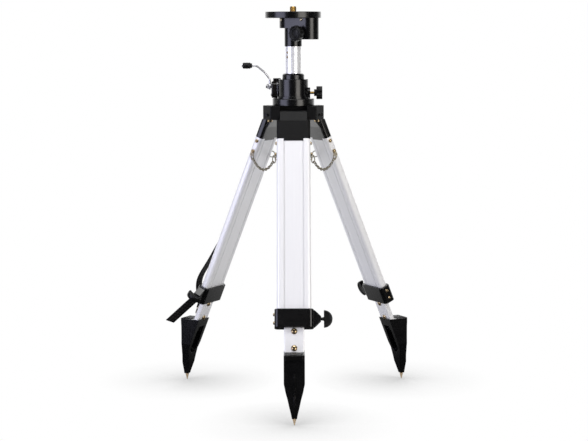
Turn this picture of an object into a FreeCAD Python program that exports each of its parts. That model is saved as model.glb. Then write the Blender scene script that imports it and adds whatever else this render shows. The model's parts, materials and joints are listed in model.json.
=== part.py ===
import FreeCAD, Part

import math
import os

# Elevating tripod: a geared centre column on three telescopic legs.
# Lengths are in millimetres and angles in degrees. The origin is on the column's axis, on the
# ground between the three spike tips. +Z is up, and the front leg leans out towards -Y.

V = FreeCAD.Vector
ORIGIN = V(0, 0, 0)
X_AXIS = V(1, 0, 0)
Y_AXIS = V(0, 1, 0)
Z_AXIS = V(0, 0, 1)

# Clearances
RUNNING = 0.05
SLIDING = 0.3
SEAT = 0.3

# Leg stance
LEG_LEAN = 23.0
FOOT_OFFSET = -14.3
HINGE_RADIUS = 40.0
LEG_TURNS = {"front": 0.0, "right": 120.0, "left": 240.0}

# Leg tube section, in leg coordinates: x across, y towards the column, z up the leg
LEG_WIDTH = 77.0
LEG_DEPTH = 19.0
LEG_INNER_FACE = 0.5
LEG_TOP = 63.0
LEG_END = 494.0
LEG_CORNER = 7.0
LEG_CORE_CORNER = 3.6
LEG_WALL = 2.2
WEB_WIDTH = 45.0
WEB_RECESS = 1.2
WEB_TOP_DROP = 5.0
GROOVE_WIDTH = 1.8
GROOVE_DEPTH = 1.0

# Slider
SLIDER_WIDTH = 44.0
SLIDER_DEPTH = 12.0
SLIDER_WALL = 2.4
SLIDER_CORNER = 2.5
SLIDER_HOLLOW_CORNER = 0.7
SLIDER_TOP = 92.0
SLIDER_PROUD = 64.5

# Leg top casting
KNUCKLE_WIDTH = 62.4
KNUCKLE_RADIUS = 11.0
KNUCKLE_BACK_ANGLE = -35.0
CASTING_FOOT = 28.0
CASTING_BACK_DROP = 6.0
CASTING_ROOF = 12.0
SPIGOT_LENGTH = 45.0
SPIGOT_GAP = 0.1
HINGE_PIN_RADIUS = 4.0
HINGE_PIN_LENGTH = 115.0

# Leg screws
SIDE_SCREW_PLACES = (72.0, 98.0)
SIDE_SCREW_HEAD_RADIUS = 4.3
SIDE_SCREW_HEAD_HEIGHT = 3.2
SIDE_SCREW_RADIUS = 2.5
SIDE_SCREW_LENGTH = 12.0
CLAMP_SCREW_HEAD_RADIUS = 3.8

# Leg clamp
CLAMP_OVERRUN = 7.5
CLAMP_HEIGHT = 42.0
CLAMP_WALL = 5.0
CLAMP_CORNER = 9.0
CLAMP_EDGE = 1.5
NOSE_SUNK = 4.0
NOSE_SHOULDER = 2.0
NOSE_REACH = 16.0
NOSE_ROOT_HEIGHT = 36.0
NOSE_TIP_HEIGHT = 9.0
NOSE_DEPTH = 17.0
CLAMP_SCREW_OFFSETS = (-10.0, 9.0)

# Wing knob of a leg clamp
WING_RADIUS = 19.0
WING_THICKNESS = 11.0
WING_NECK_RADIUS = 6.5
WING_NECK_LENGTH = 6.0
WING_STUD_RADIUS = 4.0
WING_STUD_GAP = 1.0
WING_NECK_TAPER = 1.0
WING_EDGE = 2.4
WING_REST_TURNS = {"front": 0.0, "right": 0.0, "left": 80.0}

# Shoe and spike
SHOE_WIDTH = 46.0
STEP_HEIGHT = 155.0
STEP_THICKNESS = 10.0
STEP_OVERHANG = 4.0
STEP_CORNER = 6.0
SHOE_INNER_FACE = 1.0
SHOE_BOTTOM = 15.0
SHOE_POCKET_WIDTH = 26.0
SHOE_POCKET_DEPTH = 12.0
SHOE_POCKET_BOTTOM = 70.0
SHOE_POCKET_ROOF = 4.0
SHOE_RIDGE_WIDTH = 3.0
SHOE_HEIGHT_ON_LEG = 146.0
SHOE_BOLT_MARGINS = (57.0, 19.0)
SHOE_BOLT_RADIUS = 4.0
SHOE_BOLT_HEAD_RADIUS = 6.8
SHOE_BOLT_HEAD_HEIGHT = 4.2
SPIKE_RADIUS = 4.6
SPIKE_TIP_RADIUS = 0.9
SPIKE_SHANK_RADIUS = 3.0
SPIKE_SHANK_LENGTH = 14.0
LIP_DEPTH = 24.0
LIP_HEIGHT = 16.0
TANG_PLAY = 0.2
TANG_BELOW = 20.0
TANG_ABOVE_BOLT = 12.0
TANG_CORNER = 1.2

# Shoe outlines on the front leg: distance out from the spike's axis and height, half width and
# height, and the ridge down its front
SHOE_FRONT = ((4.8, 15.0), (6.0, 44.0), (2.5, 66.0), (1.0, 84.0), (0.5, 107.0), (0.5, 138.0))
SHOE_BACK = ((-13.5, 44.0), (-4.8, 15.0))
SHOE_BACK_RISE = 77.0
SHOE_TAPER = ((23.0, 155.0), (23.0, 92.0), (19.0, 72.0), (14.8, 57.0), (11.5, 42.0), (7.4, 25.0),
              (5.6, 15.0))
SHOE_RIDGE = ((-2.0, 18.0), (6.2, 20.0), (7.4, 44.0), (4.0, 66.0), (2.4, 84.0), (2.0, 105.0), (-4.0, 140.0))

# Spider, which carries the three leg hinges
SPIDER_HEIGHT = 32.0
SPIDER_BELOW_HINGE = 11.0
SPIDER_FACE = 51.0
SPIDER_LOBE_REACH = 71.0
SPIDER_CORE = 27.0
LOBE_BOLT_CIRCLE = 62.0
LOBE_BOLT_RADIUS = 3.0
LOBE_NUT_ACROSS_FLATS = 10.0
LOBE_NUT_HEIGHT = 5.0
LOBE_BOLT_END = 1.5
LOBE_BOLT_SOCKET = 3.5
LOBE_BOLT_SOCKET_DEPTH = 2.0
SPIDER_LOBE_AZIMUTHS = (-150.0, -30.0, 90.0)
SPIDER_CORNER = 3.0

# Hub above the spider
FLANGE_RADIUS = 48.5
FLANGE_THICKNESS = 15.0
HUB_STEP_RADIUS = 38.0
HUB_STEP_HEIGHT = 5.0
HUB_RADIUS = 34.3
HUB_HEIGHT = 39.5
COLLAR_RADIUS = 25.4
COLLAR_HEIGHT = 13.0
COLLAR_CHAMFER = 3.0
COLLAR_BORE_GAP = 0.4
FLANGE_EDGE = 1.2
HUB_BORE_CLEARANCE = 1.0
BUSH_WALL = 3.0
BUSH_LENGTH = 24.0

# Column and its rack and pinion
COLUMN_RADIUS = 19.0
COLUMN_WALL = 2.5
COLUMN_TOP_ABOVE_HUB = 62.6
COLUMN_LENGTH = 509.0
COLUMN_FOOT_RADIUS = 21.5
COLUMN_FOOT_HEIGHT = 8.0
COLUMN_FOOT_EDGE = 2.0
COLUMN_FOOT_PLUG = 12.0
GEAR_MODULE = 1.25
PINION_TEETH = 14
PRESSURE_ANGLE = 20.0
BACKLASH = 0.25
RACK_WIDTH = 8.0
RACK_SEAT = 17.4
RACK_ROOM = 1.0
DEDENDUM = 1.25
RACK_ADDENDUM = 0.9
RACK_PITCH_LINE = 21.0
RACK_END_MARGIN = 8.0
PINION_FACE = 10.0
PINION_ROOM = 0.6
PINION_AXLE_ABOVE_FLANGE = 26.7
PINION_SHAFT_RADIUS = 4.0

# Gearbox at the back left of the hub
GEARBOX_LEFT = 37.0
GEARBOX_RIGHT = 16.0
GEARBOX_DEPTH = 38.0
GEARBOX_HEIGHT = 39.0
GEARBOX_DROP = 7.0
GEARBOX_CORNER = 12.0
GEARBOX_FORWARD = 3.0
GEARBOX_COVER_THICKNESS = 14.0
GEARBOX_COVER_EDGE = 3.0
GEARBOX_SCREW_MARGIN = 7.5
GEARBOX_SCREW_RADIUS = 1.5
GEARBOX_SCREW_HEAD_RADIUS = 2.8
GEARBOX_SCREW_HEAD_HEIGHT = 1.8
GEARBOX_SCREW_BITE = 8.0
GEARBOX_CAP_HEIGHT = 7.0
GEARBOX_CAP_LENGTH = 18.0
GEARBOX_CAP_INSET = 4.0
GEARBOX_CAP_FRONT = 12.0
GEARBOX_CAP_BACK = 6.0
GEARBOX_CAP_EDGE = 1.8

# Crank
CRANK_ROD_RADIUS = 2.5
CRANK_RADIUS = 48.5
CRANK_BEND = 14.0
CRANK_LUG_RADIUS = 7.5
CRANK_LUG_THICKNESS = 4.0
CRANK_LUG_GAP = 2.0
CRANK_KNEE_RISE = 17.0
CRANK_ELBOW_REACH = 12.0
CRANK_ELBOW_RISE = 33.0
CRANK_TOP_REACH = 31.0
CRANK_NUT_ACROSS_FLATS = 10.0
CRANK_NUT_THICKNESS = 4.0
SHAFT_END_LENGTH = 3.0
GRIP_RADIUS = 7.2
GRIP_LENGTH = 22.0
GRIP_NECK_RADIUS = 5.4
GRIP_NECK_LENGTH = 4.0
GRIP_REACH = 39.0
GRIP_EDGE = 2.6
GRIP_CAP_LIP = 1.6
GRIP_CAP_THICKNESS = 1.5

# Column lock
LOCK_HEIGHT_ABOVE_FLANGE = 13.0
LOCK_BOSS_RADIUS = 12.5
LOCK_BOSS_REACH = 39.0
LOCK_SCREW_RADIUS = 3.0
LOCK_KNOB_HUB_START = 48.0
LOCK_KNOB_HUB_RADIUS = 7.5
LOCK_KNOB_HUB_LENGTH = 5.5
LOCK_KNOB_RADIUS = 15.4
LOCK_KNOB_THICKNESS = 13.5
LOCK_KNOB_LOBES = 7
LOCK_KNOB_DIP = 3.4
LOCK_SCREW_BITE = 12.0
LOBE_CUTTER_SHARE = 0.62
KNOB_EDGE = 1.0

# Head
NECK_RADIUS = 20.0
NECK_HEIGHT = 41.7
HEAD_BLOCK_RADIUS = 31.6
HEAD_BLOCK_HEIGHT = 23.0
HEAD_LOBE_X = 35.0
HEAD_LOBE_Y = -31.5
HEAD_LOBE_RADIUS = 23.5
HEAD_LOBE_HEIGHT = 48.6
HEAD_SPIGOT_LENGTH = 44.0
SOCKET_RADIUS = 8.0
SOCKET_DEPTH = 38.0
PLATE_RADIUS = 64.5
PLATE_THICKNESS = 14.6
PLATE_EDGE = 1.0
STUD_RADIUS = 7.94
STUD_SHANK_RADIUS = 7.0
STUD_RELIEF = 1.0
STUD_RECESS_GAP = 0.8
STUD_PROUD = 12.0
STUD_DEPTH = 28.0
STUD_CHAMFER = 1.2
COLUMN_SCREW_RADIUS = 2.6
COLUMN_SCREW_AZIMUTH = -134.0
COLUMN_SCREW_DROPS = (14.0, 24.5)
COLUMN_SCREW_SHANK = 1.6
COLUMN_SCREW_HEAD_HEIGHT = 1.6
COLUMN_SCREW_LENGTH = 6.5
HEAD_SCREW_RADIUS = 3.4
HEAD_SCREW_HEAD_HEIGHT = 2.2
HEAD_SCREW_SHANK = 1.7
HEAD_SCREW_LENGTH = 7.0
HEAD_SCREW_DROP = 3.6
HEAD_SCREW_AZIMUTHS = (-150.0, -210.0, 80.0)
BRIDGE_SCREW_SHARE = 0.88
HEAD_KNOB_AZIMUTH = -132.0
HEAD_KNOB_DROP = 35.0
HEAD_KNOB_RADIUS = 18.0
HEAD_KNOB_THICKNESS = 13.0
HEAD_KNOB_START = 35.5
HEAD_KNOB_HUB_RADIUS = 9.5
HEAD_KNOB_SCREW_RADIUS = 4.0
HEAD_KNOB_FLUTES = 12
HEAD_KNOB_DIP = 1.3
HEAD_KNOB_GAP = 0.5

# Chains between the legs
RING_RADIUS = 7.0
RING_WIRE = 1.1
EYELET_THICKNESS = 1.6
EYELET_WIDTH = 8.0
EYELET_LENGTH = 9.0
EYELET_TILT = 18.0
EYELET_RIM = 1.6
LINK_PLAY = 0.1
CHAIN_SLACK = 1.02
LINK_LENGTH = 11.0
LINK_WIDTH = 7.4
LINK_WIRE = 0.95
CHAIN_LINKS = 15

# Tie strap on the left leg
STRAP_WIDTH = 25.0
STRAP_THICKNESS = 1.8
STRAP_TOP = 40.0
STRAP_OFF_LEG = 0.2
STRAP_OFF_CLAMP = 0.3
STRAP_SAG = 1.5
STRAP_RAMP = (26.0, 4.0)
STRAP_LEAVES_CLAMP = 12.0
STRAP_TAIL = ((8.0, 2.0), (30.0, 44.0), (60.0, 101.0))
BUCKLE_WIDTH = 36.0
BUCKLE_HEIGHT = 26.0
BUCKLE_THICKNESS = 6.0
BUCKLE_DROP = 17.0
BUCKLE_EDGE = 2.0
BUCKLE_RAIL = 3.0
BUCKLE_BAR_HALF = 2.0
BUCKLE_SEAT = 0.1
BUCKLE_ROOM = 0.9
LOWER_STRAP_WIDTH = 22.0
LOWER_STRAP_OFF = 0.4
LOWER_STRAP_STEPS = (7.0, -4.0, -15.0, -25.0)
LOWER_STRAP_BEHIND_RING = 1.2
SQUARE_RING_WIDTH = 30.0
SQUARE_RING_HEIGHT = 18.0
SQUARE_RING_WIRE = 1.7
SQUARE_RING_CORNER = 4.0
SQUARE_RING_DROP = 20.0
SQUARE_RING_OFF = 4.5
BRACKET_HALF_WIDTH = 9.0
BRACKET_THICKNESS = 1.6
BRACKET_BELOW = 9.0
BRACKET_ABOVE = 6.0
HOOK_HALF_WIDTH = 7.0
HOOK_REACH = 8.5
HOOK_BELOW = 4.0
HOOK_PLAY = 0.2

# Places down the leg that follow from the end of its tube
CLAMP_BOTTOM = LEG_END + CLAMP_OVERRUN
CLAMP_TOP = CLAMP_BOTTOM - CLAMP_HEIGHT
SLIDER_END = CLAMP_BOTTOM + SLIDER_PROUD
SHOE_BOLT_PLACES = tuple(SLIDER_END - margin for margin in SHOE_BOLT_MARGINS)
LEG_LENGTH = SLIDER_END + SHOE_HEIGHT_ON_LEG

# Heights that follow from the stance
SIN_LEAN = math.sin(math.radians(LEG_LEAN))
COS_LEAN = math.cos(math.radians(LEG_LEAN))
HINGE_HEIGHT = LEG_LENGTH * COS_LEAN - FOOT_OFFSET * SIN_LEAN
FOOT_RADIUS = HINGE_RADIUS + FOOT_OFFSET * COS_LEAN + LEG_LENGTH * SIN_LEAN
LEG_OUTER_FACE = LEG_INNER_FACE - LEG_DEPTH
LEG_MIDDLE = LEG_INNER_FACE - LEG_DEPTH / 2
SLIDER_OUTER_FACE = LEG_MIDDLE + 1.0 - SLIDER_DEPTH / 2
SLIDER_INNER_FACE = SLIDER_OUTER_FACE + SLIDER_DEPTH
SPIDER_BOTTOM = HINGE_HEIGHT - SPIDER_BELOW_HINGE
SPIDER_TOP = SPIDER_BOTTOM + SPIDER_HEIGHT
FLANGE_TOP = SPIDER_TOP + FLANGE_THICKNESS
HUB_TOP = FLANGE_TOP + HUB_STEP_HEIGHT + HUB_HEIGHT
COLLAR_TOP = HUB_TOP + COLLAR_HEIGHT
COLUMN_TOP = COLLAR_TOP + COLUMN_TOP_ABOVE_HUB
COLUMN_BOTTOM = COLUMN_TOP - COLUMN_LENGTH
NECK_TOP = COLUMN_TOP + NECK_HEIGHT
BLOCK_TOP = NECK_TOP + HEAD_BLOCK_HEIGHT
PLATE_TOP = BLOCK_TOP + PLATE_THICKNESS
AXLE_HEIGHT = FLANGE_TOP + PINION_AXLE_ABOVE_FLANGE
LOCK_HEIGHT = FLANGE_TOP + LOCK_HEIGHT_ABOVE_FLANGE
HUB_BORE = COLUMN_RADIUS + HUB_BORE_CLEARANCE
BUSH_RADIUS = COLUMN_RADIUS + RUNNING + BUSH_WALL
GEAR_PITCH = math.pi * GEAR_MODULE
PINION_RADIUS = GEAR_MODULE * PINION_TEETH / 2
PINION_TIP = PINION_RADIUS + GEAR_MODULE
AXLE_Y = RACK_PITCH_LINE + PINION_RADIUS
RACK_TIP = RACK_PITCH_LINE + RACK_ADDENDUM * GEAR_MODULE
RACK_BOTTOM = COLUMN_BOTTOM + RACK_END_MARGIN
RACK_TOP = COLUMN_TOP - RACK_END_MARGIN
CLAMP_HALF_WIDTH = LEG_WIDTH / 2 + CLAMP_WALL
CLAMP_OUTER_FACE = LEG_OUTER_FACE - CLAMP_WALL
CLAMP_INNER_FACE = LEG_INNER_FACE + CLAMP_WALL
WING_PLACE = CLAMP_TOP + CLAMP_HEIGHT / 2
WING_START = CLAMP_HALF_WIDTH + NOSE_REACH + SEAT


def box(x0, x1, y0, y1, z0, z1):
    """Box between two corners."""
    return Part.makeBox(x1 - x0, y1 - y0, z1 - z0, V(x0, y0, z0))


def rod(radius, start, end):
    """Cylinder of this radius between two points."""
    start = V(*start)
    along = V(*end) - start
    return Part.makeCylinder(radius, along.Length, start, along)


def joined(shapes):
    """One clean solid from touching or overlapping solids."""
    return shapes[0].multiFuse(list(shapes[1:])).removeSplitter()


def group(shapes):
    """Separate solids kept together in one node."""
    return Part.makeCompound(list(shapes))


def rounded_bar(half_width, y0, y1, z0, z1, corner):
    """Upright bar with rounded vertical edges, centred across x."""
    bar = box(-half_width, half_width, y0, y1, z0, z1)
    upright = [edge for edge in bar.Edges if abs(edge.tangentAt(edge.FirstParameter).z) > 0.9]
    return bar.makeFillet(min(corner, (y1 - y0) / 2 - 0.2), upright)


def softened(shape, radius, chosen):
    """Fillets the edges that the given test picks."""
    edges = [edge for edge in shape.Edges if chosen(edge)]
    return shape.makeFillet(radius, edges)


def prism(points, along):
    """Prism of a closed polygon, swept along a vector."""
    face = Part.Face(Part.makePolygon([V(*point) for point in points] + [V(*points[0])]))
    return face.extrude(V(*along))


def turned(shape, degrees, axis=Z_AXIS, centre=ORIGIN):
    """Copy of a shape, turned about an axis."""
    copy = shape.copy()
    copy.rotate(centre, axis, degrees)
    return copy


def shifted(shape, x=0.0, y=0.0, z=0.0):
    """Copy of a shape, moved."""
    copy = shape.copy()
    copy.translate(V(x, y, z))
    return copy


def hexagon(across_flats, height, base, axis):
    """Hexagonal prism, standing on base along an axis."""
    corner = across_flats / math.sqrt(3)
    points = [(corner * math.cos(math.radians(60 * k)), corner * math.sin(math.radians(60 * k)), 0)
              for k in range(6)]
    nut = prism(points, (0, 0, height))
    nut.Placement = FreeCAD.Placement(V(*base), FreeCAD.Rotation(Z_AXIS, V(*axis)))
    return nut


def domed_screw(head_radius, head_height, shank_radius, shank_length):
    """Screw with a domed head above z = 0 and its shank below."""
    profile = Part.Wire([
        Part.LineSegment(V(0, 0, -shank_length), V(shank_radius, 0, -shank_length)).toShape(),
        Part.LineSegment(V(shank_radius, 0, -shank_length), V(shank_radius, 0, 0)).toShape(),
        Part.LineSegment(V(shank_radius, 0, 0), V(head_radius, 0, 0)).toShape(),
        Part.LineSegment(V(head_radius, 0, 0), V(head_radius, 0, head_height * 0.35)).toShape(),
        Part.Arc(V(head_radius, 0, head_height * 0.35),
                 V(head_radius * 0.62, 0, head_height * 0.86),
                 V(0, 0, head_height)).toShape(),
        Part.LineSegment(V(0, 0, head_height), V(0, 0, -shank_length)).toShape(),
    ])
    screw = Part.Face(profile).revolve(ORIGIN, Z_AXIS, 360)
    slot_half = shank_radius * 0.25
    slot = box(-head_radius, head_radius, -slot_half, slot_half, head_height * 0.6, head_height + 1)
    return screw.cut(slot)


def facing(shape, point, direction):
    """Copy of a shape built along +Z, carried to a point and turned to a direction."""
    copy = shape.copy()
    copy.Placement = FreeCAD.Placement(V(*point), FreeCAD.Rotation(Z_AXIS, V(*direction)))
    return copy


def bent_rod(points, radius, bend):
    """Round rod along straight runs that are joined by tangent arcs."""
    corners = [V(*point) for point in points]
    edges = []
    start = corners[0]
    for before, corner, after in zip(corners, corners[1:], corners[2:]):
        back = (before - corner).normalize()
        ahead = (after - corner).normalize()
        half_turn = (math.pi - back.getAngle(ahead)) / 2
        reach = bend * math.tan(half_turn)
        first = corner + back * reach
        last = corner + ahead * reach
        inwards = (back + ahead).normalize()
        middle = corner + inwards * (bend / math.cos(half_turn) - bend)
        edges.append(Part.LineSegment(start, first).toShape())
        edges.append(Part.Arc(first, middle, last).toShape())
        start = last
    edges.append(Part.LineSegment(start, corners[-1]).toShape())
    path = Part.Wire(edges)
    tangent = (corners[1] - corners[0]).normalize()
    section = Part.Wire([Part.Circle(corners[0], tangent, radius).toShape()])
    return path.makePipeShell([section], True, False)


def on_leg(shape, leg):
    """Leans a shape from leg coordinates and carries it to its leg."""
    placed = turned(shape, -LEG_LEAN, X_AXIS)
    placed.translate(V(0, -HINGE_RADIUS, HINGE_HEIGHT))
    return turned(placed, LEG_TURNS[leg])


def leg_to_front(x, y, place):
    """World point, on the front leg, of a point in leg coordinates."""
    return V(x, -HINGE_RADIUS + y * COS_LEAN - place * SIN_LEAN,
             HINGE_HEIGHT - y * SIN_LEAN - place * COS_LEAN)


def turn_point(point, degrees):
    """World point, turned about the column's axis."""
    return FreeCAD.Rotation(Z_AXIS, degrees).multVec(point)


def leg_section(z0, z1):
    """Outside of the leg tube between two heights, with no grooves."""
    return rounded_bar(LEG_WIDTH / 2, LEG_OUTER_FACE, LEG_INNER_FACE, z0, z1, LEG_CORNER)


def tube_core(side, z0, z1, gap):
    """Hollow of one of the leg's two round-edged side tubes, shrunk by a gap."""
    inner = WEB_WIDTH / 2 + LEG_WALL + gap
    outer = LEG_WIDTH / 2 - LEG_WALL - gap
    half = (outer - inner) / 2
    core = rounded_bar(half, LEG_OUTER_FACE + LEG_WALL + gap, LEG_INNER_FACE - LEG_WALL - gap,
                       z0, z1, LEG_CORE_CORNER - gap)
    return shifted(core, x=side * (inner + half))


def slider_core(z0, z1, gap):
    """Outside of the slider, grown by a gap."""
    return rounded_bar(SLIDER_WIDTH / 2 + gap, SLIDER_OUTER_FACE - gap, SLIDER_INNER_FACE + gap,
                       z0, z1, SLIDER_CORNER + gap)


def wing_hole(radius):
    """Hole along the wing knob's stud, from the slider's side to beyond the nose."""
    start = SLIDER_WIDTH / 2
    return rod(radius, (start, LEG_MIDDLE, -WING_PLACE), (WING_START + 1, LEG_MIDDLE, -WING_PLACE))


def make_leg_tube():
    """Extruded leg: two side tubes joined by a recessed web, open inside for the slider."""
    tube = leg_section(-LEG_END, -LEG_TOP)
    half_web = WEB_WIDTH / 2
    recess = box(-half_web, half_web, LEG_OUTER_FACE - 1, LEG_OUTER_FACE + WEB_RECESS,
                 -LEG_END - 1, -LEG_TOP + 1)
    cuts = [recess, slider_core(-LEG_END - 1, -LEG_TOP + 1, SLIDING)]
    cuts.append(box(-half_web, half_web, LEG_OUTER_FACE - 1, LEG_INNER_FACE + 1,
                    -LEG_TOP - WEB_TOP_DROP, -LEG_TOP + 1))
    groove_end = LEG_OUTER_FACE + WEB_RECESS + GROOVE_DEPTH
    for side in (-1, 1):
        cuts.append(tube_core(side, -LEG_END - 1, -LEG_TOP + 1, 0.0))
        middle = side * (half_web - GROOVE_WIDTH / 2)
        cuts.append(box(middle - GROOVE_WIDTH / 2, middle + GROOVE_WIDTH / 2, LEG_OUTER_FACE - 1,
                        groove_end, -LEG_END - 1, -LEG_TOP + 1))
        cuts.append(box(middle - GROOVE_WIDTH / 2, middle + GROOVE_WIDTH / 2,
                        LEG_INNER_FACE - GROOVE_DEPTH, LEG_INNER_FACE + 1, -LEG_END - 1, -LEG_TOP + 1))
        for place in SIDE_SCREW_PLACES:
            cuts.append(side_screw_hole(side, place, SIDE_SCREW_RADIUS))
    for place in clamp_screw_places():
        cuts.append(side_screw_hole(-1, place, SIDE_SCREW_RADIUS))
    cuts.append(wing_hole(WING_STUD_RADIUS + 1.0))
    return tube.cut(cuts)


def clamp_screw_places():
    """Places along the leg of the clamp's two fixing screws."""
    return tuple(WING_PLACE + offset for offset in CLAMP_SCREW_OFFSETS)


def side_screw_hole(side, place, radius):
    """Hole across one side of the leg."""
    return rod(radius, (side * (LEG_WIDTH / 2 + CLAMP_WALL + 2), LEG_MIDDLE, -place),
               (side * (LEG_WIDTH / 2 - SIDE_SCREW_LENGTH), LEG_MIDDLE, -place))


def make_leg_screws():
    """Four side screws at the leg's top and two in its clamp, as separate solids."""
    screw = domed_screw(SIDE_SCREW_HEAD_RADIUS, SIDE_SCREW_HEAD_HEIGHT, SIDE_SCREW_RADIUS,
                        SIDE_SCREW_LENGTH)
    clamp_screw = domed_screw(CLAMP_SCREW_HEAD_RADIUS, SIDE_SCREW_HEAD_HEIGHT, SIDE_SCREW_RADIUS,
                              SIDE_SCREW_LENGTH)
    screws = []
    for side in (-1, 1):
        for place in SIDE_SCREW_PLACES:
            lift = EYELET_THICKNESS if place == SIDE_SCREW_PLACES[-1] else 0.0
            screws.append(facing(screw, (side * (LEG_WIDTH / 2 + lift), LEG_MIDDLE, -place),
                                 (side, 0, 0)))
    for place in clamp_screw_places():
        screws.append(facing(clamp_screw, (-CLAMP_HALF_WIDTH, LEG_MIDDLE, -place), (-1, 0, 0)))
    return screws


def make_top_casting():
    """Leg's top fitting: a knuckle on the hinge pin, a body and two spigots in the tubes."""
    body = leg_section(-LEG_TOP, -KNUCKLE_RADIUS / 2)
    slice_height = SPIDER_BELOW_HINGE + SEAT
    above = turned(box(-LEG_WIDTH, LEG_WIDTH, -LEG_WIDTH, LEG_WIDTH, -slice_height, LEG_WIDTH),
                   LEG_LEAN, X_AXIS)
    body = body.cut(above)
    half_web = WEB_WIDTH / 2
    tongue = box(-half_web, half_web, LEG_OUTER_FACE, LEG_INNER_FACE,
                 -LEG_TOP - WEB_TOP_DROP, -LEG_TOP + 2)
    half = KNUCKLE_WIDTH / 2
    barrel = rod(KNUCKLE_RADIUS, (-half, 0, 0), (half, 0, 0))
    corner = (LEG_OUTER_FACE, -CASTING_FOOT)
    reach = math.hypot(*corner)
    spread = math.acos(KNUCKLE_RADIUS / reach)
    bearing = math.atan2(corner[1], corner[0]) - spread
    touch = (KNUCKLE_RADIUS * math.cos(bearing), KNUCKLE_RADIUS * math.sin(bearing))
    back = math.radians(KNUCKLE_BACK_ANGLE)
    neck = prism([(-half, touch[0], touch[1]), (-half, corner[0], corner[1]),
                  (-half, LEG_INNER_FACE, -CASTING_FOOT - CASTING_BACK_DROP),
                  (-half, KNUCKLE_RADIUS * math.cos(back), KNUCKLE_RADIUS * math.sin(back)),
                  (-half, 0, 0)], (KNUCKLE_WIDTH, 0, 0))
    spigots = [tube_core(side, -LEG_TOP - SPIGOT_LENGTH, -LEG_TOP + 2, SPIGOT_GAP) for side in (-1, 1)]
    casting = joined([body, tongue, barrel, neck] + spigots)
    cuts = [rod(HINGE_PIN_RADIUS + RUNNING, (-half - 1, 0, 0), (half + 1, 0, 0))]
    cuts.append(slider_core(-LEG_END, -LEG_TOP + CASTING_ROOF, SLIDING))
    for side in (-1, 1):
        for place in SIDE_SCREW_PLACES:
            cuts.append(side_screw_hole(side, place, SIDE_SCREW_RADIUS))
    return casting.cut(cuts)


def make_clamp():
    """Band clamp round the leg's lower end, with a nose for its wing knob."""
    band = rounded_bar(CLAMP_HALF_WIDTH, CLAMP_OUTER_FACE, CLAMP_INNER_FACE,
                       -CLAMP_BOTTOM, -CLAMP_TOP, CLAMP_CORNER)
    rims = (-CLAMP_BOTTOM, -CLAMP_TOP)
    band = softened(band, CLAMP_EDGE, lambda edge: all(
        any(abs(vertex.Z - rim) < 0.01 for rim in rims) for vertex in edge.Vertexes)
        and abs(edge.Vertexes[0].Z - edge.Vertexes[-1].Z) < 0.01)
    root = CLAMP_HALF_WIDTH - NOSE_SUNK
    shoulder = CLAMP_HALF_WIDTH + NOSE_SHOULDER
    tip = CLAMP_HALF_WIDTH + NOSE_REACH
    half_root = NOSE_ROOT_HEIGHT / 2
    half_tip = NOSE_TIP_HEIGHT / 2
    nose = prism([(root, 0, -WING_PLACE - half_root), (shoulder, 0, -WING_PLACE - half_root),
                  (tip, 0, -WING_PLACE - half_tip), (tip, 0, -WING_PLACE + half_tip),
                  (shoulder, 0, -WING_PLACE + half_root), (root, 0, -WING_PLACE + half_root)],
                 (0, NOSE_DEPTH, 0))
    nose = shifted(nose, y=LEG_MIDDLE - NOSE_DEPTH / 2)
    nose = nose.common(rod(NOSE_ROOT_HEIGHT, (0, LEG_MIDDLE, -WING_PLACE), (tip, LEG_MIDDLE, -WING_PLACE)))
    clamp = joined([band, nose])
    cuts = [leg_section(-LEG_END, -CLAMP_TOP + 1),
            slider_core(-CLAMP_BOTTOM - 1, -LEG_END + 1, SLIDING),
            wing_hole(WING_STUD_RADIUS + RUNNING)]
    for place in clamp_screw_places():
        cuts.append(side_screw_hole(-1, place, SIDE_SCREW_RADIUS))
    return clamp.cut(cuts)


def make_wing(rest_turn):
    """D-shaped wing knob with its moulded-in stud."""
    start = WING_START
    half = WING_THICKNESS / 2
    flat = start + WING_NECK_LENGTH
    disc = rod(WING_RADIUS, (flat, LEG_MIDDLE - half, 0), (flat, LEG_MIDDLE + half, 0))
    keep = box(flat, flat + WING_RADIUS + 1, LEG_MIDDLE - half - 1, LEG_MIDDLE + half + 1,
               -WING_RADIUS - 1, WING_RADIUS + 1)
    paddle = disc.common(keep)
    paddle = softened(paddle, WING_EDGE, lambda edge: True)
    neck = Part.makeCone(WING_NECK_RADIUS, WING_NECK_RADIUS - WING_NECK_TAPER, WING_NECK_LENGTH + 2,
                         V(start, LEG_MIDDLE, 0), X_AXIS)
    stud = rod(WING_STUD_RADIUS, (SLIDER_WIDTH / 2 + WING_STUD_GAP, LEG_MIDDLE, 0),
               (start + 2, LEG_MIDDLE, 0))
    wing = joined([paddle, neck, stud])
    wing = turned(wing, rest_turn, X_AXIS, V(0, LEG_MIDDLE, 0))
    return shifted(wing, z=-WING_PLACE)


def make_slider():
    """Hollow inner leg that slides in the leg tube."""
    slider = slider_core(-SLIDER_END, -SLIDER_TOP, 0.0)
    hollow = rounded_bar(SLIDER_WIDTH / 2 - SLIDER_WALL, SLIDER_OUTER_FACE + SLIDER_WALL,
                         SLIDER_INNER_FACE - SLIDER_WALL, -SLIDER_END - 1, -SLIDER_TOP + 1,
                         SLIDER_HOLLOW_CORNER)
    cuts = [hollow] + [shoe_bolt_hole(place) for place in SHOE_BOLT_PLACES]
    return slider.cut(cuts)


def shoe_bolt_hole(place):
    """Hole through the slider for one shoe bolt."""
    return rod(SHOE_BOLT_RADIUS, (0, SLIDER_OUTER_FACE - 10, -place), (0, SLIDER_INNER_FACE + 10, -place))


def shoe_bolt_head_room(place):
    """Room for one shoe bolt's two heads, outside the slider."""
    radius = SHOE_BOLT_HEAD_RADIUS + SEAT
    outer = rod(radius, (0, SLIDER_OUTER_FACE - 8, -place), (0, SLIDER_OUTER_FACE, -place))
    inner = rod(radius, (0, SLIDER_INNER_FACE, -place), (0, SLIDER_INNER_FACE + 8, -place))
    return group([outer, inner])


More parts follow.
